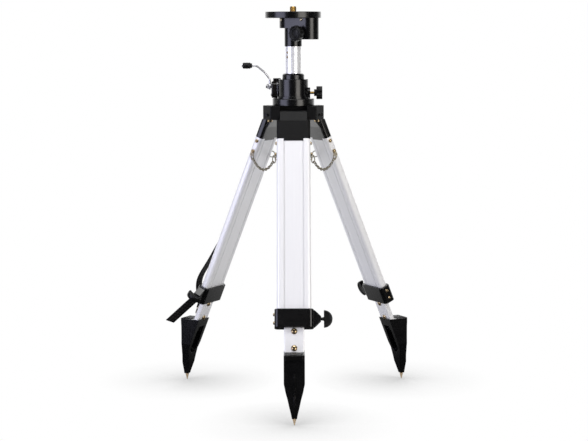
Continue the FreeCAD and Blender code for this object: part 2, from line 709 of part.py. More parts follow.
def shoe_outline():
    """Side outline of the shoe in world y and z, on the front leg."""
    def outer(out, height):
        return (-FOOT_RADIUS - out, height)

    def inner(place):
        point = leg_to_front(0, SHOE_INNER_FACE, place)
        return (point.y, point.z)

    top_place = (HINGE_HEIGHT - SHOE_INNER_FACE * SIN_LEAN - STEP_HEIGHT) / COS_LEAN
    back = [outer(out, height) for out, height in SHOE_BACK]
    front = [outer(out, height) for out, height in SHOE_FRONT]
    return ([outer(STEP_OVERHANG, STEP_HEIGHT), inner(top_place), inner(LEG_LENGTH - SHOE_BACK_RISE)]
            + back + front + [outer(STEP_OVERHANG, STEP_HEIGHT - STEP_THICKNESS)])


def make_shoe():
    """Cast shoe: a foot step, a tapering body and a tang inside the slider."""
    half = SHOE_WIDTH / 2
    side = prism([(-half, y, z) for y, z in shoe_outline()], (SHOE_WIDTH, 0, 0))
    right = list(SHOE_TAPER)
    left = [(-x, z) for x, z in reversed(right)]
    front = prism([(x, -2 * FOOT_RADIUS, z) for x, z in right + left], (0, 2 * FOOT_RADIUS, 0))
    shoe = side.common(front)
    edge = -FOOT_RADIUS - STEP_OVERHANG
    lip = box(-half, half, edge, edge + LIP_DEPTH, STEP_HEIGHT - LIP_HEIGHT, STEP_HEIGHT)
    rounded = softened(lip, STEP_CORNER, lambda edge: abs(edge.tangentAt(edge.FirstParameter).z) > 0.9
                       and edge.CenterOfMass.y < -FOOT_RADIUS)
    shoe = shoe.cut(lip.cut(rounded))
    ridge_half = SHOE_RIDGE_WIDTH / 2
    ridge = prism([(-ridge_half, -FOOT_RADIUS - out, height) for out, height in SHOE_RIDGE],
                  (SHOE_RIDGE_WIDTH, 0, 0))
    tang_gap = SLIDER_WALL + TANG_PLAY
    tang = rounded_bar(SLIDER_WIDTH / 2 - tang_gap, SLIDER_OUTER_FACE + tang_gap,
                       SLIDER_INNER_FACE - tang_gap, -SLIDER_END - TANG_BELOW,
                       -SHOE_BOLT_PLACES[0] + TANG_ABOVE_BOLT, TANG_CORNER)
    tang = place_on_front(tang)
    pocket = box(-SHOE_POCKET_WIDTH / 2, SHOE_POCKET_WIDTH / 2, SHOE_INNER_FACE - SHOE_POCKET_DEPTH,
                 20, -LEG_LENGTH + SHOE_POCKET_BOTTOM, -SLIDER_END - SHOE_POCKET_ROOF)
    pocket = softened(pocket, SHOE_POCKET_WIDTH / 2 - 1, lambda edge: abs(edge.CenterOfMass.z
                      + LEG_LENGTH - SHOE_POCKET_BOTTOM) < 0.01
                      and abs(edge.tangentAt(edge.FirstParameter).y) > 0.9)
    shoe = joined([shoe, ridge])
    shoe = shoe.cut([place_on_front(slider_core(-SLIDER_END, -SLIDER_TOP, 0.0)), place_on_front(pocket)])
    shoe = joined([shoe, tang])
    holes = [place_on_front(shoe_bolt_hole(place)) for place in SHOE_BOLT_PLACES]
    heads = [place_on_front(shoe_bolt_head_room(place)) for place in SHOE_BOLT_PLACES]
    return shoe.cut(holes + heads + [spike_shape(SPIKE_SHANK_RADIUS)])


def place_on_front(shape):
    """Carries a shape from leg coordinates to the front leg."""
    return on_leg(shape, "front")


def spike_shape(shank_radius):
    """Pointed steel spike with a shank that is pressed into the shoe."""
    cone = Part.makeCone(SPIKE_TIP_RADIUS, SPIKE_RADIUS, SHOE_BOTTOM, V(0, -FOOT_RADIUS, 0), Z_AXIS)
    shank = Part.makeCylinder(shank_radius, SPIKE_SHANK_LENGTH, V(0, -FOOT_RADIUS, SHOE_BOTTOM), Z_AXIS)
    return cone.fuse(shank)


def make_shoe_bolts():
    """Two through bolts with domed heads on both faces of the slider."""
    bolts = []
    for place in SHOE_BOLT_PLACES:
        head = domed_screw(SHOE_BOLT_HEAD_RADIUS, SHOE_BOLT_HEAD_HEIGHT, SHOE_BOLT_RADIUS, SLIDER_DEPTH)
        nut = domed_screw(SHOE_BOLT_HEAD_RADIUS - 0.8, SHOE_BOLT_HEAD_HEIGHT, SHOE_BOLT_RADIUS, 2.0)
        bolts.append(joined([facing(head, (0, SLIDER_OUTER_FACE, -place), (0, -1, 0)),
                             facing(nut, (0, SLIDER_INNER_FACE, -place), (0, 1, 0))]))
    return bolts


def chain_heading(side):
    """Level direction, from the front leg, of the chain on one side."""
    return V(side * 0.5, math.sqrt(0.75), 0)


def eyelet_hole(side):
    """Middle of the front leg's eyelet hole on one side, in world coordinates."""
    tilt = math.radians(EYELET_TILT)
    out = LEG_WIDTH / 2 + EYELET_THICKNESS / 2 + EYELET_LENGTH * math.sin(tilt)
    return leg_to_front(side * out, LEG_MIDDLE, SIDE_SCREW_PLACES[-1] + EYELET_LENGTH * math.cos(tilt))


def ring_pull(side):
    """Direction, down and sideways, in which the chain pulls the split ring."""
    return (chain_heading(side) - Z_AXIS).normalize()


def ring_centre(side):
    """World centre of the front leg's split ring on one side."""
    return eyelet_hole(side) + ring_pull(side) * RING_RADIUS


def make_rings():
    """Eyelet tabs under the lower side screws, and the split rings that hang in them."""
    pieces = []
    half_round = EYELET_WIDTH / 2
    place = -SIDE_SCREW_PLACES[-1]
    for side in (-1, 1):
        low, high = sorted((side * LEG_WIDTH / 2, side * (LEG_WIDTH / 2 + EYELET_THICKNESS)))
        seat = rod(half_round, (low, LEG_MIDDLE, place), (high, LEG_MIDDLE, place))
        seat = seat.fuse(box(low, high, LEG_MIDDLE - half_round, LEG_MIDDLE + half_round,
                             place - half_round, place))
        base = place - half_round
        reach = EYELET_LENGTH - half_round
        tab = box(low, high, LEG_MIDDLE - half_round, LEG_MIDDLE + half_round, base - reach, base)
        tab = tab.fuse(rod(half_round, (low, LEG_MIDDLE, base - reach), (high, LEG_MIDDLE, base - reach)))
        tab = tab.cut(rod(EYELET_WIDTH / 2 - EYELET_RIM, (low - 1, LEG_MIDDLE, base - reach),
                          (high + 1, LEG_MIDDLE, base - reach)))
        tab = turned(tab, -side * EYELET_TILT, Y_AXIS, V(side * LEG_WIDTH / 2, LEG_MIDDLE, base))
        eyelet = joined([seat, tab]).cut(side_screw_hole(side, SIDE_SCREW_PLACES[-1], SIDE_SCREW_RADIUS))
        pieces.append(place_on_front(eyelet))
        heading = chain_heading(side)
        pieces.append(Part.makeTorus(RING_RADIUS, RING_WIRE, ring_centre(side), V(heading.y, -heading.x, 0)))
    return pieces


def chain_link():
    """Oval link round the origin, long along z, with its flat side in x and z."""
    half_run = (LINK_LENGTH - LINK_WIDTH) / 2
    radius = LINK_WIDTH / 2 - LINK_WIRE
    top = Part.makeTorus(radius, LINK_WIRE, V(0, 0, 0), Y_AXIS, 0, 360, 360)
    above = box(-LINK_WIDTH, LINK_WIDTH, -LINK_WIDTH, LINK_WIDTH, 0, LINK_LENGTH)
    bend = top.common(above)
    runs = [rod(LINK_WIRE, (side * radius, 0, -half_run), (side * radius, 0, half_run)) for side in (-1, 1)]
    return joined([shifted(bend, z=half_run), turned(shifted(bend, z=half_run), 180, Y_AXIS)] + runs)


def catenary(start, end, steps, length):
    """Points of a hanging chain of this length, evenly spaced along it."""
    level = V(end.x - start.x, end.y - start.y, 0)
    span = level.Length
    rise = end.z - start.z
    taut = math.sqrt(max(length ** 2 - rise ** 2, (span * CHAIN_SLACK) ** 2))
    low, high = 0.01, 10.0
    for _ in range(60):
        guess = (low + high) / 2
        if math.sinh(guess) / guess < taut / span:
            low = guess
        else:
            high = guess
    scale = span / (2 * low)
    middle = span / 2 - scale * math.asinh(rise / (2 * scale * math.sinh(low)))
    base = scale * math.cosh(middle / scale)
    full = scale * (math.sinh((span - middle) / scale) + math.sinh(middle / scale))
    points = []
    for k in range(steps + 1):
        along = k * full / steps
        across = middle + scale * math.asinh(along / scale - math.sinh(middle / scale))
        height = start.z + scale * math.cosh((across - middle) / scale) - base
        points.append(V(start.x + level.x * across / span, start.y + level.y * across / span, height))
    return points


def make_chain():
    """Chain from the front leg's right ring to the right leg's near ring."""
    hold = RING_RADIUS - RING_WIRE - LINK_PLAY
    start = ring_centre(1) + ring_pull(1) * hold
    end = turn_point(ring_centre(-1) + ring_pull(-1) * hold, LEG_TURNS["right"])
    across = chain_heading(1).cross(Z_AXIS)
    pitch = LINK_LENGTH - 4 * LINK_WIRE
    path = catenary(start, end, CHAIN_LINKS, pitch * CHAIN_LINKS)
    link = chain_link()
    links = []
    for index, (first, last) in enumerate(zip(path, path[1:])):
        along = (last - first).normalize()
        placed = turned(link, 90) if index % 2 else link.copy()
        frame = FreeCAD.Placement((first + last) / 2,
                                  FreeCAD.Rotation(across, along.cross(across), along, "ZXY"))
        placed = placed.transformGeometry(frame.toMatrix())
        links.append(placed)
    return links


def ribbon(points, width, thickness):
    """Flat webbing, across x, along a path of y and z in leg coordinates."""
    upper = []
    lower = []
    for index, point in enumerate(points):
        before = points[max(index - 1, 0)]
        after = points[min(index + 1, len(points) - 1)]
        along = math.hypot(after[0] - before[0], after[1] - before[1])
        normal = ((after[1] - before[1]) / along, -(after[0] - before[0]) / along)
        half = thickness / 2
        upper.append((-width / 2, point[0] + normal[0] * half, point[1] + normal[1] * half))
        lower.append((-width / 2, point[0] - normal[0] * half, point[1] - normal[1] * half))
    return prism(upper + lower[::-1], (width, 0, 0))


def make_strap():
    """Upper webbing down the leg's outer face, over the clamp, with its free end."""
    face = LEG_OUTER_FACE - STRAP_THICKNESS / 2 - STRAP_OFF_LEG
    over = CLAMP_OUTER_FACE - STRAP_THICKNESS / 2 - STRAP_OFF_CLAMP
    ramp_start = CLAMP_TOP - STRAP_RAMP[0]
    quarter = (ramp_start - STRAP_TOP) / 4
    points = [(face, -STRAP_TOP), (face, -STRAP_TOP - quarter), (face - STRAP_SAG, -STRAP_TOP - 2 * quarter),
              (face, -STRAP_TOP - 3 * quarter), (face, -ramp_start), (over, -CLAMP_TOP + STRAP_RAMP[1]),
              (over, -CLAMP_BOTTOM + STRAP_LEAVES_CLAMP)]
    points += [(over - out, -CLAMP_BOTTOM - down) for out, down in STRAP_TAIL]
    return ribbon(points, STRAP_WIDTH, STRAP_THICKNESS)


def make_buckle():
    """Ladder buckle on the clamp's outer face."""
    y1 = CLAMP_OUTER_FACE - BUCKLE_SEAT
    middle = -CLAMP_TOP - BUCKLE_DROP
    half = BUCKLE_HEIGHT / 2
    frame = box(-BUCKLE_WIDTH / 2, BUCKLE_WIDTH / 2, y1 - BUCKLE_THICKNESS, y1,
                middle - half, middle + half)
    frame = softened(frame, BUCKLE_EDGE, lambda edge: edge.CenterOfMass.y < y1 - BUCKLE_THICKNESS + 0.1)
    inner = STRAP_WIDTH / 2 + 1
    gaps = [box(-inner, inner, y1 - BUCKLE_THICKNESS - 1, y1 + 1, middle - half + BUCKLE_RAIL,
                middle - BUCKLE_BAR_HALF),
            box(-inner, inner, y1 - BUCKLE_THICKNESS - 1, y1 + 1, middle + BUCKLE_BAR_HALF,
                middle + half - BUCKLE_RAIL)]
    passage = box(-inner, inner, y1 - STRAP_THICKNESS - BUCKLE_ROOM, y1 + 1,
                  middle - half - 1, middle + half + 1)
    return frame.cut(gaps + [passage])


def strap_fold_point():
    """Point of the lower webbing just below the clamp, in leg coordinates."""
    return (CLAMP_OUTER_FACE - STRAP_THICKNESS / 2 - LOWER_STRAP_OFF, -CLAMP_BOTTOM - STRAP_TAIL[0][1])


def make_lower_strap():
    """Narrow webbing from the clamp down to the square ring on the slider."""
    y, z = strap_fold_point()
    hang = SLIDER_OUTER_FACE - SQUARE_RING_OFF - SQUARE_RING_WIRE - LOWER_STRAP_BEHIND_RING
    points = [(place, z + step) for place, step in zip((y, y, hang, hang), LOWER_STRAP_STEPS)]
    return ribbon(points, LOWER_STRAP_WIDTH, STRAP_THICKNESS)


def make_square_ring():
    """Wire ring and the bracket that holds it on the slider's outer face."""
    _, z = strap_fold_point()
    ring_y = SLIDER_OUTER_FACE - SQUARE_RING_OFF
    half = SQUARE_RING_WIDTH / 2
    top = z - SQUARE_RING_DROP
    bottom = top - SQUARE_RING_HEIGHT
    wire = SQUARE_RING_WIRE
    outer = box(-half, half, ring_y - wire, ring_y + wire, bottom, top)
    outer = softened(outer, SQUARE_RING_CORNER, lambda edge: abs(edge.tangentAt(edge.FirstParameter).y) > 0.9)
    inner = box(-half + 2 * wire, half - 2 * wire, ring_y - 5, ring_y + 5, bottom + 2 * wire,
                top - 2 * wire)
    ring = outer.cut(inner)
    seat = SLIDER_OUTER_FACE - BRACKET_THICKNESS
    plate = box(-BRACKET_HALF_WIDTH, BRACKET_HALF_WIDTH, seat, SLIDER_OUTER_FACE,
                bottom - BRACKET_BELOW, bottom + BRACKET_ABOVE)
    hook = box(-HOOK_HALF_WIDTH, HOOK_HALF_WIDTH, SLIDER_OUTER_FACE - HOOK_REACH, seat,
               bottom - HOOK_BELOW, bottom + BRACKET_ABOVE)
    hook = hook.cut(box(-HOOK_HALF_WIDTH - 1, HOOK_HALF_WIDTH + 1, ring_y - wire - HOOK_PLAY, seat,
                        bottom - SEAT, bottom + BRACKET_ABOVE + 1))
    bracket = joined([plate, hook]).cut(shoe_bolt_head_room(SHOE_BOLT_PLACES[1]))
    return [ring, bracket]


def make_spider():
    """Casting with three pairs of lobes that carry the leg hinge pins."""
    corners = []
    half_lobe = 2 * SPIDER_FACE / math.sqrt(3) - SPIDER_LOBE_REACH / math.sqrt(3)
    for azimuth in SPIDER_LOBE_AZIMUTHS:
        for side in (-1, 1):
            angle = math.radians(azimuth)
            corners.append((SPIDER_LOBE_REACH * math.cos(angle) - side * half_lobe * math.sin(angle),
                            SPIDER_LOBE_REACH * math.sin(angle) + side * half_lobe * math.cos(angle),
                            SPIDER_BOTTOM))
    body = prism(corners, (0, 0, SPIDER_HEIGHT))
    body = softened(body, SPIDER_CORNER, lambda edge: abs(edge.tangentAt(edge.FirstParameter).z) > 0.9)
    slot_half = KNUCKLE_WIDTH / 2 + SLIDING
    cuts = [rod(BUSH_RADIUS, (0, 0, SPIDER_BOTTOM - 1), (0, 0, SPIDER_BOTTOM + BUSH_LENGTH)),
            rod(HUB_BORE, (0, 0, SPIDER_BOTTOM - 1), (0, 0, SPIDER_TOP + 1)),
            rack_passage(SPIDER_BOTTOM - 1, SPIDER_TOP + 1)]
    for turn in LEG_TURNS.values():
        slot = box(-slot_half, slot_half, -2 * SPIDER_FACE, -SPIDER_CORE, SPIDER_BOTTOM - 1, SPIDER_TOP + 1)
        pin = hinge_pin(HINGE_PIN_RADIUS, 2 * SPIDER_LOBE_REACH)
        cuts += [turned(slot, turn), turned(pin, turn)]
        cuts.append(turned(rod(LOBE_BOLT_RADIUS, (0, LOBE_BOLT_CIRCLE, SPIDER_BOTTOM - 1),
                               (0, LOBE_BOLT_CIRCLE, SPIDER_TOP + 1)), turn))
        cuts.append(turned(lobe_bolt_head(), turn))
    return body.cut(cuts)


def rack_passage(z0, z1):
    """Space that the rack needs behind the column."""
    return box(-RACK_WIDTH / 2 - SLIDING, RACK_WIDTH / 2 + SLIDING, RACK_SEAT, RACK_TIP + RACK_ROOM, z0, z1)


def hinge_pin(radius, length):
    """Front leg's hinge pin."""
    return rod(radius, (-length / 2, -HINGE_RADIUS, HINGE_HEIGHT), (length / 2, -HINGE_RADIUS, HINGE_HEIGHT))


def lobe_bolt_head():
    """Countersunk head of the back lobe's bolt."""
    return Part.makeCone(LOBE_BOLT_RADIUS, 2 * LOBE_BOLT_RADIUS, LOBE_BOLT_RADIUS,
                         V(0, LOBE_BOLT_CIRCLE, SPIDER_TOP - LOBE_BOLT_RADIUS), Z_AXIS)


def make_lobe_bolt():
    """Back lobe's bolt, from its countersunk head to below its nut."""
    shank = rod(LOBE_BOLT_RADIUS, (0, LOBE_BOLT_CIRCLE, SPIDER_BOTTOM - LOBE_NUT_HEIGHT - LOBE_BOLT_END),
                (0, LOBE_BOLT_CIRCLE, SPIDER_TOP))
    socket = hexagon(LOBE_BOLT_SOCKET, LOBE_BOLT_SOCKET_DEPTH + 1,
                     (0, LOBE_BOLT_CIRCLE, SPIDER_TOP - LOBE_BOLT_SOCKET_DEPTH), (0, 0, 1))
    return joined([shank, lobe_bolt_head()]).cut(socket)


def make_lobe_nut():
    """Nut under the back lobe."""
    nut = hexagon(LOBE_NUT_ACROSS_FLATS, LOBE_NUT_HEIGHT,
                  (0, LOBE_BOLT_CIRCLE, SPIDER_BOTTOM - LOBE_NUT_HEIGHT), (0, 0, 1))
    return nut.cut(rod(LOBE_BOLT_RADIUS, (0, LOBE_BOLT_CIRCLE, SPIDER_BOTTOM - 10),
                       (0, LOBE_BOLT_CIRCLE, SPIDER_BOTTOM + 1)))


def gearbox_block(x0, x1, grow):
    """Rounded block of the gearbox between two places along x."""
    middle_z = AXLE_HEIGHT - GEARBOX_DROP
    half_z = GEARBOX_HEIGHT / 2 + grow
    half_y = GEARBOX_DEPTH / 2 + grow
    middle_y = AXLE_Y - GEARBOX_FORWARD
    block = box(x0, x1, middle_y - half_y, middle_y + half_y, middle_z - half_z, middle_z + half_z)
    return softened(block, GEARBOX_CORNER + grow,
                    lambda edge: abs(edge.tangentAt(edge.FirstParameter).x) > 0.9)


def column_space(z0, z1):
    """Space for the column and its rack inside the hub."""
    return rod(HUB_BORE, (0, 0, z0), (0, 0, z1)).fuse(rack_passage(z0, z1))


def lock_bore():
    """Hole of the column lock's screw."""
    return rod(LOCK_SCREW_RADIUS + RUNNING, (COLUMN_RADIUS, 0, LOCK_HEIGHT),
               (LOCK_BOSS_REACH + 5, 0, LOCK_HEIGHT))


def make_hub():
    """Hub housing: flange, step, upright cylinder and the boss of the column lock."""
    flange = rod(FLANGE_RADIUS, (0, 0, SPIDER_TOP), (0, 0, FLANGE_TOP))
    flange = softened(flange, FLANGE_EDGE, lambda edge: abs(edge.CenterOfMass.z - FLANGE_TOP) < 0.01
                      and len(edge.Vertexes) == 1)
    step = rod(HUB_STEP_RADIUS, (0, 0, FLANGE_TOP - 1), (0, 0, FLANGE_TOP + HUB_STEP_HEIGHT))
    cylinder = rod(HUB_RADIUS, (0, 0, FLANGE_TOP), (0, 0, HUB_TOP))
    boss = rod(LOCK_BOSS_RADIUS, (HUB_RADIUS - 8, 0, LOCK_HEIGHT), (LOCK_BOSS_REACH, 0, LOCK_HEIGHT))
    hub = joined([flange, step, cylinder, boss])
    cuts = [column_space(SPIDER_TOP - 1, HUB_TOP + 1), lock_bore(),
            gearbox_block(-GEARBOX_LEFT, GEARBOX_RIGHT, 0.0),
            rod(BUSH_RADIUS, (0, 0, HUB_TOP - BUSH_LENGTH), (0, 0, HUB_TOP + 1))]
    return hub.cut(cuts)


def make_collar():
    """Chamfered collar that holds the upper guide bush."""
    collar = rod(COLLAR_RADIUS, (0, 0, HUB_TOP), (0, 0, COLLAR_TOP))
    top = [edge for edge in collar.Edges if abs(edge.CenterOfMass.z - COLLAR_TOP) < 0.01
           and len(edge.Vertexes) == 1]
    collar = collar.makeChamfer(COLLAR_CHAMFER, top)
    bore = rod(COLUMN_RADIUS + COLLAR_BORE_GAP, (0, 0, HUB_TOP - 1), (0, 0, COLLAR_TOP + 1))
    return collar.cut([bore, rack_passage(HUB_TOP - 1, COLLAR_TOP + 1)])


def make_bushes():
    """Two plastic guide bushes, slotted for the rack."""
    bushes = []
    for base in (SPIDER_BOTTOM, HUB_TOP - BUSH_LENGTH):
        bush = rod(BUSH_RADIUS, (0, 0, base), (0, 0, base + BUSH_LENGTH))
        bore = rod(COLUMN_RADIUS + RUNNING, (0, 0, base - 1), (0, 0, base + BUSH_LENGTH + 1))
        bushes.append(bush.cut([bore, rack_passage(base - 1, base + BUSH_LENGTH + 1),
                                gearbox_block(-GEARBOX_LEFT, GEARBOX_RIGHT, 0.0)]))
    return bushes


def pinion_room():
    """Room that the pinion turns in."""
    half = PINION_FACE / 2 + PINION_ROOM
    return rod(PINION_TIP + PINION_ROOM, (-half, AXLE_Y, AXLE_HEIGHT), (half, AXLE_Y, AXLE_HEIGHT))


def make_gearbox():
    """Gearbox housing at the back of the hub, with the pinion's bearings."""
    block = gearbox_block(-GEARBOX_LEFT, GEARBOX_RIGHT, 0.0)
    shaft = rod(PINION_SHAFT_RADIUS + RUNNING, (-GEARBOX_LEFT - 1, AXLE_Y, AXLE_HEIGHT),
                (GEARBOX_RIGHT + 1, AXLE_Y, AXLE_HEIGHT))
    cuts = [column_space(SPIDER_TOP, HUB_TOP), pinion_room(), shaft]
    hole = rod(GEARBOX_SCREW_RADIUS, (0, 0, -GEARBOX_SCREW_BITE - 1), (0, 0, 1))
    cuts += [facing(hole, point, (-1, 0, 0)) for point in gearbox_screw_points()]
    return block.cut(cuts)


def gearbox_screw_points():
    """Corners of the cover where its screws stand."""
    middle_z = AXLE_HEIGHT - GEARBOX_DROP
    place = -GEARBOX_LEFT
    reach_y = GEARBOX_DEPTH / 2 - GEARBOX_SCREW_MARGIN
    reach_z = GEARBOX_HEIGHT / 2 - GEARBOX_SCREW_MARGIN
    return [(place, AXLE_Y - GEARBOX_FORWARD + side_y * reach_y, middle_z + side_z * reach_z)
            for side_y in (-1, 1) for side_z in (-1, 1) if not (side_y > 0 and side_z > 0)]


def make_gearbox_cover():
    """Rounded cover plate and cap on the gearbox's left end, as two solids."""
    left = -GEARBOX_LEFT - GEARBOX_COVER_THICKNESS
    cover = gearbox_block(left, -GEARBOX_LEFT, 0.0)
    cover = softened(cover, GEARBOX_COVER_EDGE, lambda edge: abs(edge.CenterOfMass.x - left) < 0.01)
    holes = [rod(PINION_SHAFT_RADIUS + RUNNING, (left - 1, AXLE_Y, AXLE_HEIGHT),
                 (-GEARBOX_LEFT + 1, AXLE_Y, AXLE_HEIGHT))]
    hole = rod(GEARBOX_SCREW_RADIUS, (0, 0, -1), (0, 0, GEARBOX_COVER_THICKNESS + 6))
    holes += [facing(hole, point, (-1, 0, 0)) for point in gearbox_screw_points()]
    top = AXLE_HEIGHT - GEARBOX_DROP + GEARBOX_HEIGHT / 2
    start = left + GEARBOX_CAP_INSET
    cap = box(start, start + GEARBOX_CAP_LENGTH, AXLE_Y - GEARBOX_CAP_FRONT, AXLE_Y + GEARBOX_CAP_BACK,
              top, top + GEARBOX_CAP_HEIGHT)
    cap = softened(cap, GEARBOX_CAP_EDGE, lambda edge: edge.CenterOfMass.z > top + 0.1)
    cap = cap.cut(rod(HUB_RADIUS, (0, 0, FLANGE_TOP), (0, 0, HUB_TOP)))
    return [cover.cut(holes), cap]


def make_gearbox_screws():
    """Three screws that hold the gearbox cover."""
    left = -GEARBOX_LEFT - GEARBOX_COVER_THICKNESS
    screw = domed_screw(GEARBOX_SCREW_HEAD_RADIUS, GEARBOX_SCREW_HEAD_HEIGHT, GEARBOX_SCREW_RADIUS,
                        GEARBOX_COVER_THICKNESS + GEARBOX_SCREW_BITE)
    return [facing(screw, (left, point[1], point[2]), (-1, 0, 0)) for point in gearbox_screw_points()]


def make_column():
    """Column tube, slotted at the back for its rack."""
    tube = rod(COLUMN_RADIUS, (0, 0, COLUMN_BOTTOM), (0, 0, COLUMN_TOP))
    cuts = [rod(COLUMN_RADIUS - COLUMN_WALL, (0, 0, COLUMN_BOTTOM - 1), (0, 0, COLUMN_TOP + 1)),
            box(-RACK_WIDTH / 2, RACK_WIDTH / 2, RACK_SEAT, COLUMN_RADIUS + 1, RACK_BOTTOM, RACK_TOP)]
    cuts += [column_screw_hole(drop) for drop in COLUMN_SCREW_DROPS]
    return tube.cut(cuts)


def column_screw_hole(drop):
    """Radial hole for one screw below the head."""
    angle = math.radians(COLUMN_SCREW_AZIMUTH)
    level = COLUMN_TOP - drop
    reach = COLUMN_RADIUS + 3
    inner = COLUMN_RADIUS - COLUMN_SCREW_LENGTH - 1
    return rod(COLUMN_SCREW_SHANK, (inner * math.cos(angle), inner * math.sin(angle), level),
               (reach * math.cos(angle), reach * math.sin(angle), level))


def make_column_screws():
    """Screws that hold the column on the head's spigot."""
    angle = math.radians(COLUMN_SCREW_AZIMUTH)
    outwards = (math.cos(angle), math.sin(angle), 0)
    screw = domed_screw(COLUMN_SCREW_RADIUS, COLUMN_SCREW_HEAD_HEIGHT, COLUMN_SCREW_SHANK,
                        COLUMN_SCREW_LENGTH)
    places = [(COLUMN_RADIUS * outwards[0], COLUMN_RADIUS * outwards[1], COLUMN_TOP - drop)
              for drop in COLUMN_SCREW_DROPS]
    return [facing(screw, place, outwards) for place in places]


def make_rack():
    """Rack on the column's back."""
    root = RACK_PITCH_LINE - DEDENDUM * GEAR_MODULE
    tan_pressure = math.tan(math.radians(PRESSURE_ANGLE))
    half_pitch = GEAR_PITCH / 4 - BACKLASH / 2
    half_root = half_pitch + DEDENDUM * GEAR_MODULE * tan_pressure
    half_tip = half_pitch - (RACK_TIP - RACK_PITCH_LINE) * tan_pressure
    points = [(-RACK_WIDTH / 2, RACK_SEAT, RACK_BOTTOM), (-RACK_WIDTH / 2, root, RACK_BOTTOM)]
    below = int((AXLE_HEIGHT - RACK_BOTTOM - GEAR_PITCH) / GEAR_PITCH)
    above = int((RACK_TOP - AXLE_HEIGHT - GEAR_PITCH) / GEAR_PITCH)
    for tooth in range(-below, above):
        middle = AXLE_HEIGHT + (tooth + 0.5) * GEAR_PITCH
        for y, z in ((root, middle - half_root), (RACK_TIP, middle - half_tip),
                     (RACK_TIP, middle + half_tip), (root, middle + half_root)):
            points.append((-RACK_WIDTH / 2, y, z))
    points += [(-RACK_WIDTH / 2, root, RACK_TOP), (-RACK_WIDTH / 2, RACK_SEAT, RACK_TOP)]
    return prism(points, (RACK_WIDTH, 0, 0))


def make_column_foot():
    """Stop at the column's lower end."""
    disc = rod(COLUMN_FOOT_RADIUS, (0, 0, COLUMN_BOTTOM - COLUMN_FOOT_HEIGHT), (0, 0, COLUMN_BOTTOM))
    disc = softened(disc, COLUMN_FOOT_EDGE, lambda edge: len(edge.Vertexes) == 1
                    and edge.CenterOfMass.z < COLUMN_BOTTOM - 1)
    plug = rod(COLUMN_RADIUS - COLUMN_WALL, (0, 0, COLUMN_BOTTOM), (0, 0, COLUMN_BOTTOM + COLUMN_FOOT_PLUG))
    return joined([disc, plug])


def make_pinion():
    """Pinion cut on its shaft; one tooth points at the rack."""
    base = PINION_RADIUS * math.cos(math.radians(PRESSURE_ANGLE))
    root = PINION_RADIUS - DEDENDUM * GEAR_MODULE

    def involute(radius):
        if radius <= base:
            return 0.0
        return math.tan(math.acos(base / radius)) - math.acos(base / radius)

    half_tooth = math.pi / (2 * PINION_TEETH) - BACKLASH / (2 * PINION_RADIUS)
    radii = [base + (PINION_TIP - base) * k / 4 for k in range(5)]
    flank = [(root, half_tooth + involute(PINION_RADIUS))]
    flank += [(radius, half_tooth + involute(PINION_RADIUS) - involute(radius)) for radius in radii]
    points = []
    for tooth in range(PINION_TEETH):
        middle = math.pi + 2 * math.pi * tooth / PINION_TEETH
        for radius, half in flank:
            points.append((radius, middle - half))
        for radius, half in reversed(flank):
            points.append((radius, middle + half))
    outline = [(-PINION_FACE / 2, AXLE_Y + radius * math.cos(angle), AXLE_HEIGHT + radius * math.sin(angle))
               for radius, angle in points]
    teeth = prism(outline, (PINION_FACE, 0, 0))
    shaft = rod(PINION_SHAFT_RADIUS, (shaft_left(), AXLE_Y, AXLE_HEIGHT),
                (GEARBOX_RIGHT, AXLE_Y, AXLE_HEIGHT))
    return joined([teeth, shaft])


def lug_left():
    """Left face of the crank's lug."""
    return -GEARBOX_LEFT - GEARBOX_COVER_THICKNESS - CRANK_LUG_GAP - CRANK_LUG_THICKNESS


def shaft_left():
    """Left end of the pinion shaft."""
    return lug_left() - CRANK_NUT_THICKNESS - SHAFT_END_LENGTH


def grip_start():
    """Right end of the crank's grip."""
    return lug_left() - GRIP_REACH


def make_crank():
    """Crank arm: a lug on the shaft, a curved rod and the grip's pin with its end cap."""
    lug = rod(CRANK_LUG_RADIUS, (lug_left(), AXLE_Y, AXLE_HEIGHT),
              (lug_left() + CRANK_LUG_THICKNESS, AXLE_Y, AXLE_HEIGHT))
    middle = lug_left() + CRANK_LUG_THICKNESS / 2
    pin_end = grip_start() - GRIP_LENGTH - SLIDING
    top = AXLE_HEIGHT + CRANK_RADIUS
    points = [(middle, AXLE_Y, AXLE_HEIGHT + CRANK_LUG_RADIUS - 1),
              (middle, AXLE_Y, AXLE_HEIGHT + CRANK_KNEE_RISE),
              (middle - CRANK_ELBOW_REACH, AXLE_Y, AXLE_HEIGHT + CRANK_ELBOW_RISE),
              (middle - CRANK_TOP_REACH, AXLE_Y, top), (pin_end, AXLE_Y, top)]
    arm = bent_rod(points, CRANK_ROD_RADIUS, CRANK_BEND)
    cap = rod(CRANK_ROD_RADIUS + GRIP_CAP_LIP, (pin_end - GRIP_CAP_THICKNESS, AXLE_Y, top),
              (pin_end, AXLE_Y, top))
    crank = joined([lug, arm, cap])
    return crank.cut(rod(PINION_SHAFT_RADIUS, (lug_left() - 1, AXLE_Y, AXLE_HEIGHT),
                         (lug_left() + CRANK_LUG_THICKNESS + 1, AXLE_Y, AXLE_HEIGHT)))


def make_crank_nut():
    """Nut that holds the crank on its shaft."""
    nut = hexagon(CRANK_NUT_ACROSS_FLATS, CRANK_NUT_THICKNESS, (lug_left(), AXLE_Y, AXLE_HEIGHT), (-1, 0, 0))
    return nut.cut(rod(PINION_SHAFT_RADIUS, (lug_left() - 20, AXLE_Y, AXLE_HEIGHT),
                       (lug_left() + 1, AXLE_Y, AXLE_HEIGHT)))


